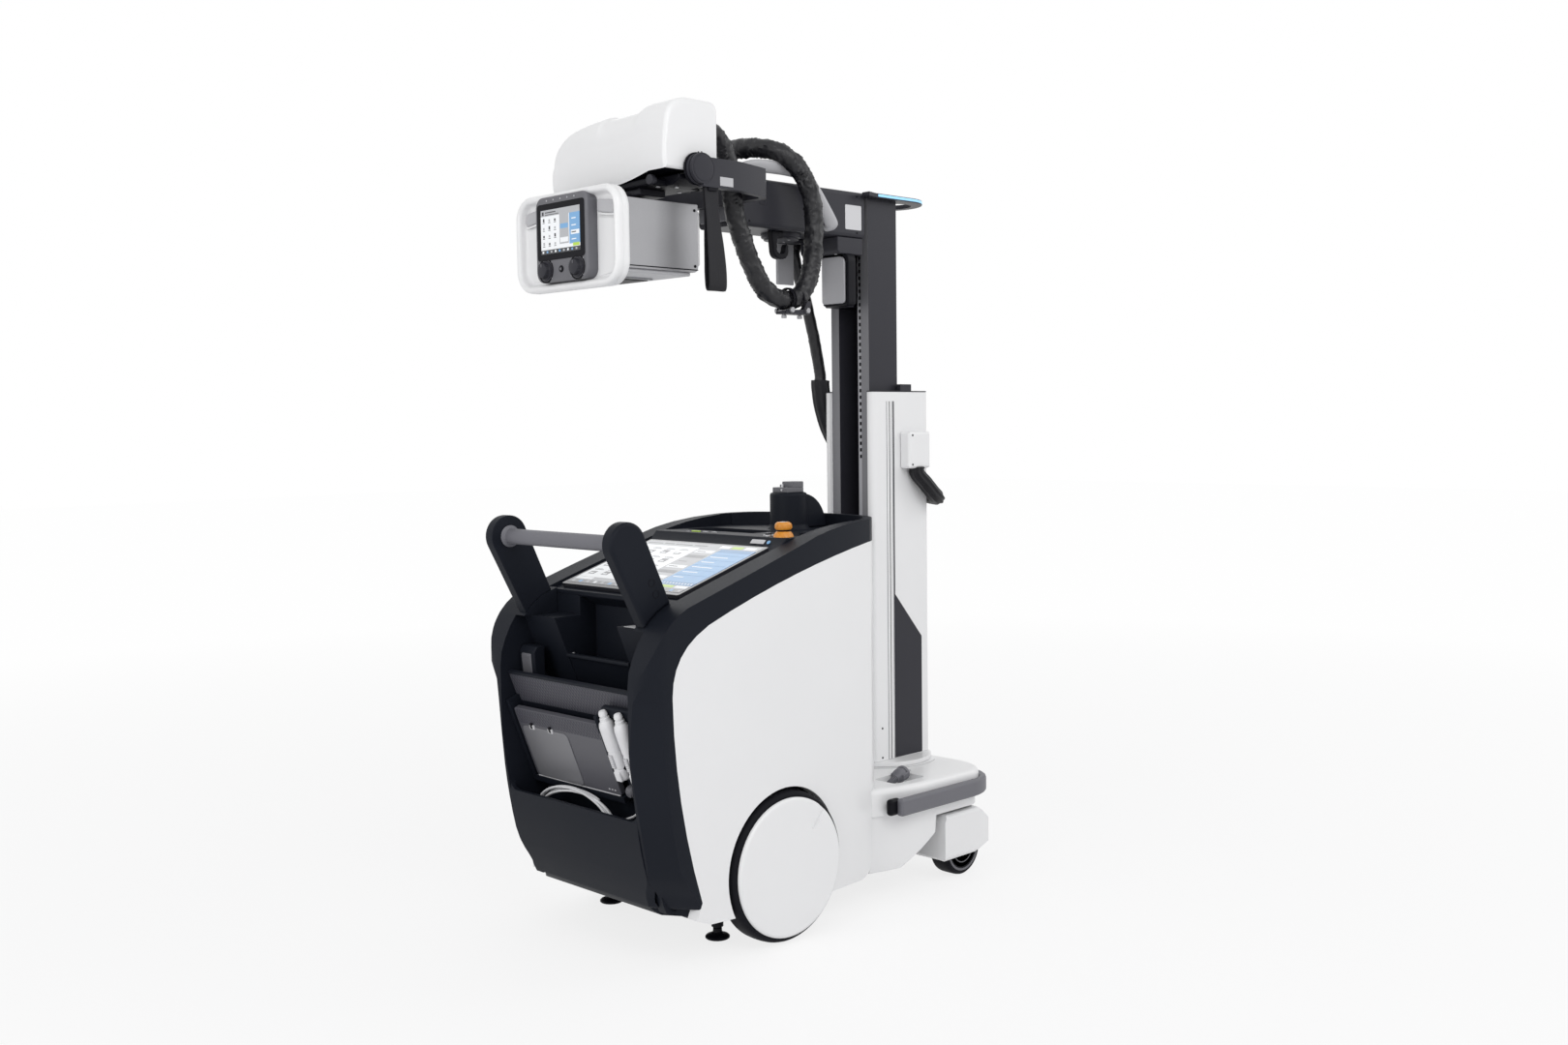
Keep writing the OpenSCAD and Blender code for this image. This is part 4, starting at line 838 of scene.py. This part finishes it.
# ---- bins and what stands in them ---------------------------------------------------------------
def bins():
    p = Piece("bin_fittings", "cart", "dark", "grey", "label", "diamond", "black", "steel")
    p.box((-204, -1.2, 186), (204, 0.1, 251), 3, 0.3, 1, BAY)
    p.box((-204, -3.4, 247), (204, 6.6, 253), 0, 1.6, 3, BAY)
    p.box((116, -284, 647.6), (166, -246, 648.9), 2, 0.4, 1)
    six = [(187 + 15 * math.cos(math.radians(a + 30)), 578 + 17 * math.sin(math.radians(a + 30))) for a in range(0, 360, 60)]
    p.prism(six, "y", -296, -276, 1, 1.5)
    # The smaller black hex on the bracket's face stands in for the bracket's recess: painted shade.
    p.prism([(187 + (x - 187) * 0.6, 578 + (z - 578) * 0.6) for x, z in six], "y", -297, -290, 4, 0.6)
    p.prism([(-276, 520), (-300, 520), (-304, 574), (-296, 586), (-276, 586)], "x", -203, -152, 0, 3)
    p.prism([(-284, 530), (-302, 530), (-306, 568), (-300, 576), (-284, 576)], "x", -194, -162, 1, 2)
    p.box((-100, -262, 566), (100, -250, 574), 0, 2.5)
    for x in (-96, 96):
        p.lathe([(0, 8), (3, 8), (3.6, 7), (3.6, 0)], (x, -246, 566), "z", 5, 14)
    p.box((-60, -2.4, 2), (60, 0.2, 10), 4, 1, 2, BAY)
    p.done("dark_trim")

    d = Piece("detector_panel", "cart", "slab", "slab_light", "label", "diamond", "black")
    plate = [(u - 51, v + 104) for u, v in rrect(278, 160, 7)]
    d.prism(plate, "y", -26.6, -14, 0, 1.8, 3, BAY)
    d.prism([(-186, 150), (84, 150), (84, 181), (78, 183), (-180, 183), (-186, 178)], "y", -27.0, -26.2, 3, 0.2, 1, BAY)
    d.prism([(u - 104, v + 86) for u, v in rrect(152, 118, 12)], "y", -28.4, -26, 1, 1.1, 3, BAY)
    for x in (-150, -88):
        d.box((x, -30.2, 140), (x + 15, -26, 150), 2, 1.2, 2, BAY)
        d.box((x + 4, -31, 142), (x + 11, -26, 154), 4, 1, 2, BAY)
    d.box((-186, -28, 24.4), (84, -14, 26.4), 2, 0.8, 2, BAY)
    for i in range(3):
        d.box((52 + i * 9, -27.2, 34), (56 + i * 9, -26, 37), 2, 0.4, 1, BAY)
    d.done("grey_trim", ["detector"])

    h = Piece("switch_cradle", "cart", "dark", "black", "grey")
    h.box((107, -16, 30), (200, 0, 200), 0, 3, 3, BAY)
    h.box((107, -42, 176), (113, -14, 214), 0, 3, 3, BAY)
    h.box((107, -20, 200), (204, -6, 222), 0, 4, 3, BAY)
    h.box((149, -30, 172), (153, -14, 204), 1, 1.5, 2, BAY)
    h.box((96, -34, 104), (114, -16, 120), 1, 3, 3, BAY)
    for x in (128, 174):
        h.box((x - 16, -34, 96), (x + 16, -14, 104), 1, 3, 3, BAY)
        h.lathe([(0, -38), (8, -37), (12, -32), (13, -26), (12.6, -18), (12, -14)], (x, 0, 44), "y", 2, 32, BAY)
    h.done("dark_trim", ["switch_holder"])

    s = Piece("hand_grips", "cart", "cord", "pale", "white")
    for x in (128, 174):
        s.lathe([(0, 71), (4, 71), (6, 72), (10.4, 74), (13.0, 78), (13.6, 84), (14.4, 88), (14.8, 98), (13.9, 99),
                 (13.9, 100.6), (15, 101.6), (15.3, 134), (14.2, 136), (14.2, 138), (15.3, 140), (15.6, 182), (15.2, 190),
                 (13.4, 197), (10.4, 200.4), (9.6, 202), (9.4, 207), (7.2, 207.8), (7.2, 211), (8.4, 212), (8.2, 217),
                 (6.2, 221), (0, 222.4)], (x - 4, -29.3, 0), "z", 0, 48, BAY)
        s.box((x - 10, -46.2, 104), (x + 2, -42, 134), 1, 1.8, 3, BAY)
        s.box((x - 13, -45, 74), (x + 5, -35, 96), 0, 3, 3, BAY)
        s.box((x - 21, -36, 96), (x - 16, -24, 140), 0, 2, 3, BAY)
        for i in range(7):
            s.box((x - 8, -46.9, 106.5 + i * 3.8), (x, -45.6, 108 + i * 3.8), 0, 0.4, 1, BAY)
    s.done("cord", ["hand_switches"])


bins()


def bar_cutter(outline, lo, hi):
    """A cutter between two x planes, from its outline in y and z."""
    return rings_mesh([[(x, y, z) for y, z in outline] for x in (lo, hi)])


BAY_HALF = 205.5
CORNER = [(424, 560), (412, 520), (409, 480), (407, 448), (405, 415), (402.5, 380), (400, 345), (396.5, 310), (392, 275),
          (386.5, 240), (380.5, 208), (373, 184), (364, 166), (355, 151.5), (348, 138), (342.5, 125), (338, 117.5), (334, 115.6),
          (327, 114.5), (323, 111), (321, 96), (321, 60), (700, 60), (700, 560)]


def corner_cutters():
    """Gives the cart's lower operator corners one smooth line over a set-back foot."""
    a = math.radians(55.9)
    out = []
    for s in (-1, 1):
        rings = [[(s * (reach * math.cos(a) + t * math.sin(a)), t * math.cos(a) - reach * math.sin(a), z)
                  for reach, z in CORNER] for t in ((-500, 500) if s > 0 else (500, -500))]
        out.append(rings_mesh(rings))
    return out


def shell():
    p = Piece("body_trims", "cart", "dark")
    p.add(carved(copy_of("side_trims"), corner_cutters()), 0, 4.5, 4)
    p.done("dark_trim", ["side_trims"])
    f = Piece("front_fascia", "cart", "dark", "black")
    f.add(carved(copy_of("fascia"), corner_cutters() + [bar_cutter(
        [(-330, 60), (-330, 118.5), (-283, 118.5), (-279, 116.5), (-275.5, 111), (-266, 101), (-252, 92), (-252, 60)], -210, 210)]), 0, 2.2, 3)
    for s_ in (-1, 1):
        edge = BAY_HALF + 1.0
        arc = [(s_ * (edge - 24 * (1 - math.sin(q))), 316 - 24 * math.cos(q)) for q in
               (math.pi / 2 * i / 8 for i in range(9))]
        f.prism([(s_ * edge, 290)] + arc, "y", -331.4, -322, 0, 0.8, 2)
        f.prism([(-268, 106), (-276, 122), (-281, 140), (-284, 160), (-262, 160), (-246, 106)], "x", s_ * 199 - 12, s_ * 199 + 12,
                0, 1, 2)
    f.done("dark_trim", ["fascia"])
    w = Piece("body_panels", "cart", "white")
    w.add(copy_of("side_panels"), 0, 2.6, 3)
    w.done("white_shell", ["side_panels"])
    e = Piece("grip_ears", "cart", "dark", "black")
    bm = copy_of("handle_ears")
    round_edges(bm, 7.5, 4, 28, lambda m, q: abs(m.x) > 204.5 and m.z > 655)
    e.add(bm, 0, 1.6, 3)
    for s_ in (-1, 1):
        for y, z in ((-287, 738), (-277, 716)):
            e.lathe([(6.6, s_ * 204.4), (6.6, s_ * 205.5), (7.6, s_ * 205.5), (7.6, s_ * 204.4)], (0, y, z), "x", 1, 40)
    e.done("dark_trim", ["handle_ears"])
    b = Piece("push_bar", "cart", "bumper", "black")
    b.lathe([(0, -177), (21, -177), (22, -176), (22, -174), (20, -172.6), (16.4, -172), (15.5, -171), (15.5, 171),
             (16.4, 172), (20, 172.6), (22, 174), (22, 176), (21, 177), (0, 177)], (0, -338, 812), "x", 0, 72)
    b.done("dark_trim", ["handle_bar"])


shell()


# ---- base ---------------------------------------------------------------------------------------
def base():
    p = Piece("base_deck", "cart", "white", "groove")
    bm = copy_of("base_cover")

    def rim(m, e):
        inside = 148 < abs(m.x) < 217 and 378 < m.y < 482 and m.x > 0
        return m.z > 244.5 and m.y > 300 and not inside and (m.x ** 2 + (m.y - 566) ** 2) ** 0.5 > 90
    round_edges(bm, 22, 8, 28, rim)
    p.add(bm, 0, 1.6, 2)
    # A thin grey line along the edge of the shallow step round the column stands in for the step: its grey is painted
    # shade.
    arc = [Vector((134 * math.sin(a), 566 - 134 * math.cos(a), 245.0)) for a in
           (math.radians(v) for v in range(-116, 117, 2))]
    p.add(rings_mesh(sweep(arc, 0.9, 6)), 1)
    p.done("white_shell", ["base_cover"])

    s = Piece("base_apron", "cart", "white")
    s.add(copy_of("base_skirt"), 0, 2.2, 3)
    s.done("white_shell", ["base_skirt"])

    b = Piece("bump_rail", "cart", "bumper", "black")
    b.add(copy_of("bumper"), 0, 7, 4)
    for x in (-1, 1):
        b.box((min(x * 240, x * 258), 318, 190), (max(x * 240, x * 258), 352, 226), 1, 8, 5)
    b.done("grey_trim", ["bumper"])

    m = Piece("plug", "cart", "bumper", "steel", "black")
    lie = Matrix.Translation((177, 402, 236)) @ Vector((-22, 112, 22)).to_track_quat("Y", "Z").to_matrix().to_4x4() @ Matrix.Scale(0.8, 4)
    relief = [(0, 0), (4.6, 0)]
    for i in range(6):
        relief += [(4.8 + i * 0.5, 1 + i * 6), (8.2 + i * 0.5, 1.6 + i * 6), (8.2 + i * 0.5, 4.4 + i * 6), (4.8 + i * 0.5, 5 + i * 6)]
    relief += [(9, 38), (10.6, 42), (15, 46), (19.6, 52), (20, 58), (20, 66), (18, 67), (18, 70), (20.6, 71), (20.6, 80),
               (19.6, 81.6), (14, 82), (13, 78), (0, 78)]
    m.lathe(relief, (0, 0, 0), "y", 0, 40, lie)
    for a in (-1, 1):
        m.lathe([(0, 77), (2.6, 77), (2.6, 100), (1.8, 102), (0, 102.4)], (a * 9.5, 0, 0), "y", 1, 16, lie)
        m.box((a * 17 - 4.5, 46, -8), (a * 17 + 4.5, 80, 8), 0, 2.5, 3, lie)
    m.tube([(177, 402, 236), (181, 392, 228), (187, 386, 219)], 4.6, 14, 0)
    m.done("grey_trim", ["mains_plug"])

    f = Piece("jack_feet", "cart", "black", "steel")
    for x in (-170, 170):
        f.lathe([(0, 12), (23, 12), (24.6, 13.4), (24.6, 16), (22, 18.6), (14, 21), (10, 24), (9, 28), (9, 32), (7, 33),
                 (7, 36), (12, 36), (12, 44), (7, 44), (7, 78), (0, 78)], (x, -105, 0), "z", 0, 40)
        f.lathe([(7.2, 46), (7.4, 47), (7.4, 60), (7.2, 61)], (x, -105, 0), "z", 1, 24)
    f.done("black_plastic", ["levelling_feet"])


base()


# ---- wheels -------------------------------------------------------------------------------------
def wheels():
    for side, name in ((1, "right"), (-1, "left")):
        body = "drive_wheel_" + name
        t = Piece("drive_tyre_" + name, body, "tyre")
        prof = [(118, 220.6), (140, 220.6), (146, 221.4), (149.4, 224), (151.2, 228), (151.7, 234), (152, 240),
                (151.9, 250), (151.2, 258), (149.6, 263), (147, 266.6), (143.4, 268.4), (140, 268.4), (118, 268.4)]
        ring = [(r, side * x) for r, x in prof]
        t.lathe(ring, (0, 0, 152), "x", 0, 160)
        t.done("tyre", ["tyre_" + name])
        d = Piece("drive_disc_" + name, body, "white", "black")
        prof = [(0.01, 224.5), (118, 224.5), (118, 268.6), (138.6, 268.6), (139.6, 269.6), (139.6, 272.6), (138.4, 275),
                (135.4, 276.8), (131, 277.5), (60, 277.5), (0.01, 277.5)]
        rings = [[(side * x, r * math.cos(2 * math.pi * i / 160), 152 + r * math.sin(2 * math.pi * i / 160))
                  for i in range(160)] for r, x in prof]
        a = math.radians(50)
        along = Matrix.Translation((0, 0, 152)) @ Matrix.Rotation(a, 4, "X")
        slot = []
        n = 14
        for k in range(n + 1):
            q = math.pi / 2 + math.pi * k / n
            slot.append((98 + 7 * math.cos(q), 7 * math.sin(q)))
        slot += [(160, -8.5), (160, 8.5)]
        cut = rings_mesh([[(side * 271.0, u, v) for u, v in slot], [(side * 280, u * 1.0 - 1.5, v * 1.25) for u, v in slot]])
        bmesh.ops.transform(cut, matrix=along, verts=cut.verts)
        bm = carved(rings_mesh(rings), [cut])
        round_edges(bm, 1.0, 3, 40, lambda m, e: abs(m.x) > 271.2 and (m.y ** 2 + (m.z - 152) ** 2) ** 0.5 < 137)
        d.add(bm, 0)
        d.lathe([(14.8, side * 226), (14.8, side * 224.6), (30, side * 224.6), (30, side * 224)], (0, 0, 152), "x", 1, 40)
        d.done("white_shell", ["disc_" + name])

        c = Piece("caster_tyre_" + name, "caster_roller_" + name, "tyre", "rim", "black")
        mid = side * 203
        c.lathe([(0, mid - 24), (40, mid - 24), (46, mid - 25), (54, mid - 25), (58, mid - 23.6), (60.8, mid - 20.4),
                 (61.8, mid - 15), (62, mid - 6), (62, mid + 6), (61.8, mid + 15), (60.8, mid + 20.4), (58, mid + 23.6),
                 (54, mid + 25), (46, mid + 25), (40, mid + 24), (0, mid + 24)], (0, 596, 62), "x", 0, 96)
        for w in (-1, 1):
            c.lathe([(46.5, mid + w * 24.6), (47, mid + w * 25.7), (51.6, mid + w * 25.7), (52.2, mid + w * 24.6)],
                    (0, 596, 62), "x", 1, 96)
            c.lathe([(31, mid + w * 23.8), (31.5, mid + w * 24.7), (33.6, mid + w * 24.7), (34, mid + w * 23.8)],
                    (0, 596, 62), "x", 1, 72)
            c.lathe([(0, mid + w * 25.6), (12, mid + w * 25.6), (13.6, mid + w * 24.8), (14, mid + w * 23)], (0, 596, 62), "x", 1, 40)
        c.done("tyre", ["caster_wheel_" + name])
        g = Piece("caster_hood_" + name, "caster_" + name, "white")
        hood = copy_of("caster_cover_" + name)
        bmesh.ops.dissolve_limit(hood, angle_limit=math.radians(14), verts=hood.verts, edges=hood.edges)
        g.add(hood, 0, 13.0, 6)
        g.done("white_shell", ["caster_cover_" + name])


wheels()


# ---- column -------------------------------------------------------------------------------------
def column():
    p = Piece("column_case", "column", "white", "mast", "groove", "black", "bumper")
    p.add(copy_of("outer_column"), 0, 1.4, 2)
    for z in (263, 331):
        p.screw((75, 495, z), "x", 3, 2.6, 0.6)
        p.screw((-75, 495, z), "x", 3, 2.6, -0.6)
    p.done("white_shell", ["outer_column"])

    t = Piece("column_trim", "column", "bumper", "mast", "groove", "black", "white")
    t.box((74.9, 514, 257), (75.8, 541, 1080), 4, 0.2, 1)
    for y0, y1, look, out in ((515.4, 517, 0, 76.1), (519, 523, 4, 77.0), (524.6, 526.6, 1, 76.2), (528, 533, 4, 77.0),
                              (534.6, 536, 0, 76.2), (537.4, 541, 1, 76.4)):
        t.box((75, y0, 257), (out, y1, 1079), look, 0.25, 1)
    t.prism([(541, 257), (633, 257), (633, 531), (541, 637)], "x", 74.9, 76.5, 1, 0.4, 1)
    cap = copy_of("column_strips")
    drop = [v for v in cap.verts if v.co.z < 1090]
    bmesh.ops.delete(cap, geom=drop, context="VERTS")
    t.add(cap, 1, 0.8, 2)
    t.done("grey_trim", ["column_strips"])

    b = Piece("cable_cover", "column", "white", "black")
    b.add(copy_of("cable_box"), 0, 1.0, 2)
    for z in (934, 1001):
        b.screw((107, 570, z), "x", 1, 2.6, 0.6)
    b.pill(40, 24, 8, "z", (91, 600, 924), 3, 1, 1)
    b.done("white_shell", ["cable_box"])


column()


# ---- hoses --------------------------------------------------------------------------------------
def folds(seed, deep=0.06, pitch=29.0, ribs=0):
    """Swell of a fabric sleeve: slanted folds that come and go, or ribs that run along it."""
    def swell(s, a):
        ca, sa = math.cos(a), math.sin(a)
        low = noise.noise(Vector((s / 55, ca * 0.7 + seed, sa * 0.7)))
        mid = noise.noise(Vector((s / 16, ca * 1.3, sa * 1.3 + seed)))
        wave = math.sin(2 * math.pi * (s / pitch + 2.2 * low) + 2.6 * math.sin(a + s / 61 + seed))
        out = 1 + deep * (0.35 + 0.9 * abs(low)) * (1 - abs(wave)) ** 2 * 1.6 - deep * 0.55 + deep * 0.8 * mid + 0.05 * low
        return out * (1 + 0.07 * math.cos(ribs * a)) if ribs else out
    return swell


def hose(name, node, a, route, radius, seed, look="fabric", flat=1.0, step=3.2, sides=36, deep=0.06, ribs=0):
    line = even_line(smooth_line(route, 10), step)
    p = Piece(name, a, look)
    p.add(rings_mesh(sweep(line, radius, sides, flat, folds(seed, deep, ribs=ribs))))
    o = p.done("hose", [node], rides=False)
    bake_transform(o)


HEAD = [(110, -80, 1612), (110, -60, 1612), (110, -30, 1604), (109, -4, 1578), (108, 14, 1535), (107, 20, 1490),
        (106, 28, 1455), (105, 44, 1415), (105, 66, 1370), (107, 92, 1325), (110, 120, 1298), (112, 144, 1288),
        (112, 160, 1288)]
LOOP = [(112, 160, 1288), (112, 176, 1288), (114, 202, 1298), (117, 226, 1332), (118, 240, 1386), (118, 244, 1446),
        (117, 239, 1500), (115, 221, 1541), (107, 197, 1573), (88, 172, 1595), (55, 149, 1606), (16, 140, 1610),
        (0, 140, 1610)]
ARM = [(0, 140, 1610), (-16, 140, 1610), (-54, 148, 1598), (-84, 170, 1572), (-96, 206, 1540), (-98, 260, 1514),
       (-98, 320, 1494), (-98, 370, 1470), (-98, 396, 1448), (-98, 400, 1432), (-98, 400, 1424)]
MAST = [(-98, 400, 1424), (-98, 400, 1409), (-98, 412, 1371), (-98, 432, 1321), (-98, 454, 1251), (-98, 470, 1189),
        (-98, 480, 1145), (-98, 480, 1130)]
COLUMN = [(-98, 480, 1130), (-98, 480, 1114), (-98, 488, 1070), (-98, 508, 1020), (-98, 546, 970), (-98, 596, 930),
          (-99, 640, 906), (-94, 660, 894), (-81, 673, 886), (-60, 680, 878), (0, 680, 868), (60, 680, 859),
          (84, 674, 857), (99, 658, 860), (103, 640, 870), (99, 618, 892), (92, 602, 912), (91, 600, 928)]
hose("head_sleeve", "head_hose", "head", HEAD, 20.5, 3.1, deep=0.13)
hose("loop_sleeve", "loop_hose", "fork", LOOP, 20.5, 7.7, deep=0.13)
hose("arm_sleeve", "arm_hose", "arm", ARM, 20.5, 11.3, deep=0.13)
hose("mast_hose", "mast_sleeve", "lift", MAST, 13.5, 5.2, deep=0.05)
def mast_profile():
    p = Piece("mast_profile", "mast", "mast", "mast_face")
    bm = copy_of("inner_mast")
    for f in bm.faces:
        if f.normal.y < -0.9 and f.calc_center_median().y < 482:
            f.material_index = 1
    p.add(bm)
    p.done("dark_trim", ["inner_mast"])


def strip_with_hole_shade():
    p = Piece("lift_strip_face", "mast", "rail", "black")
    p.add(copy_of("lift_strip"), 0)
    # The strip's holes are black boxes on its face, not cut: painted shade where the holes are.
    for i in range(35):
        z = 950 + 15 * i
        if z < 1488:
            p.box((13.5, 493.3, z), (26.5, 494.6, z + 8), 1, 0.3, 1)
    p.done("brushed_metal", ["lift_strip"])


mast_profile()
strip_with_hole_shade()
hose("column_hose", "column_sleeve", "mast", COLUMN, 16.5, 9.4, "web", 1.4, 3.0, 36, 0.012, 9)


# ---- cords --------------------------------------------------------------------------------------
def cord_points():
    drop = [(174, -293.2, 356.7), (174.6, -289, 344), (173.5, -285.5, 328), (168, -284.5, 311), (156, -285.6, 296),
            (139, -287.6, 285), (120, -289, 277), (104, -290, 269.5), (92, -290.4, 258.5)]
    coil = []
    places = [(6.2, -5.3), (0.7, -5.3), (6.2, 0.2), (0.7, 0.2), (3.4, 5.5)]
    turns = len(places)
    for i in range(turns * 48 - 8):
        at = i / 48
        k = int(at)
        f = at - k
        here, there = places[k], places[min(k + 1, turns - 1)]
        ease = max(0.0, (f - 0.55) / 0.45)
        ease = ease * ease * (3 - 2 * ease)
        inset = 2.5 + 2.1 * (6.2 - (here[0] * (1 - ease) + there[0] * ease))
        depth = here[1] * (1 - ease) + there[1] * ease
        a = -math.radians(14) - 2 * math.pi * at
        coil.append((-40 + (125 - inset) * math.cos(a), -290 + depth, 255 + (62 - inset) * math.sin(a)))
    return [V(p) for p in drop + coil]


def poly_curve(name, points, radius):
    data = bpy.data.curves.new(name, "CURVE")
    data.dimensions, data.bevel_depth, data.bevel_resolution, data.use_fill_caps = "3D", radius, 3, True
    spline = data.splines.new("POLY")
    spline.points.add(len(points) - 1)
    for q, p in zip(spline.points, points):
        q.co = (*p, 1)
    o = bpy.data.objects.new(name, data)
    scene.collection.objects.link(o)
    return o


route = cord_points()
cord = poly_curve("switch_lead", route, 0.0025)
cord.data.materials.append(MAT["cord"])
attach(cord, "cart")
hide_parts("switch_cord", "cord_coil")


# ---- stage and lights ---------------------------------------------------------------------------
def backdrop_rays(nt):
    """1 for the rays that show the plain backdrop: the camera's, and those that metal and glass send on."""
    path = nt.nodes.new("ShaderNodeLightPath")
    out = path.outputs["Is Camera Ray"]
    for kind in ("Is Glossy Ray", "Is Transmission Ray"):
        either = nt.nodes.new("ShaderNodeMath")
        either.operation = "MAXIMUM"
        nt.links.new(out, either.inputs[0])
        nt.links.new(path.outputs[kind], either.inputs[1])
        out = either.outputs[0]
    return out


def stage():
    bpy.ops.mesh.primitive_plane_add(size=40, location=(0, 0, -0.0005))
    floor = bpy.context.object
    floor.name = "floor"
    m = bpy.data.materials.new("floor_paint")
    m.use_nodes = True
    nt = m.node_tree
    bsdf = nt.nodes["Principled BSDF"]
    bsdf.inputs["Base Color"].default_value = (0.86, 0.86, 0.87, 1)
    bsdf.inputs["Roughness"].default_value = 0.8
    glow = nt.nodes.new("ShaderNodeEmission")
    glow.inputs["Strength"].default_value = 1.0
    mix = nt.nodes.new("ShaderNodeMixShader")
    share = nt.nodes.new("ShaderNodeMath")
    share.operation = "MULTIPLY"
    far = nt.nodes.new("ShaderNodeMapRange")
    for socket, value in (("From Min", 1.2), ("From Max", 5.0), ("To Min", 0.8), ("To Max", 0.985)):
        far.inputs[socket].default_value = value
    where = nt.nodes.new("ShaderNodeTexCoord")
    away = nt.nodes.new("ShaderNodeVectorMath")
    away.operation = "LENGTH"
    nt.links.new(where.outputs["Object"], away.inputs[0])
    nt.links.new(away.outputs["Value"], far.inputs["Value"])
    nt.links.new(far.outputs["Result"], share.inputs[1])
    nt.links.new(backdrop_rays(nt), share.inputs[0])
    nt.links.new(share.outputs[0], mix.inputs[0])
    nt.links.new(bsdf.outputs[0], mix.inputs[1])
    nt.links.new(glow.outputs[0], mix.inputs[2])
    nt.links.new(mix.outputs[0], nt.nodes["Material Output"].inputs["Surface"])
    floor.data.materials.append(m)
    world = bpy.data.worlds.new("world")
    scene.world = world
    world.use_nodes = True
    nt = world.node_tree
    back = nt.nodes["Background"]
    back.inputs["Color"].default_value = (1, 1, 1, 1)
    power = nt.nodes.new("ShaderNodeMapRange")
    power.inputs["To Min"].default_value, power.inputs["To Max"].default_value = 0.55, 1.0
    nt.links.new(backdrop_rays(nt), power.inputs["Value"])
    nt.links.new(power.outputs["Result"], back.inputs["Strength"])
    for name, place, target, size, energy in (
            ("key", (3.2, -1.0, 3.0), (0, 0, 0.8), 2.4, 45),
            ("front", (0.4, -3.6, 1.8), (0, 0, 0.9), 2.2, 30),
            ("rim", (-2.6, 2.2, 2.6), (0, 0, 1.0), 1.8, 8),
            ("rear", (2.2, 3.2, 2.6), (0, 0.4, 0.4), 1.8, 17)):
        data = bpy.data.lights.new(name, "AREA")
        data.size, data.energy = size, energy
        o = bpy.data.objects.new(name, data)
        o.location = place
        o.rotation_euler = (Vector(target) - Vector(place)).to_track_quat("-Z", "Y").to_euler()
        scene.collection.objects.link(o)


stage()
scene.view_settings.view_transform = "Standard"
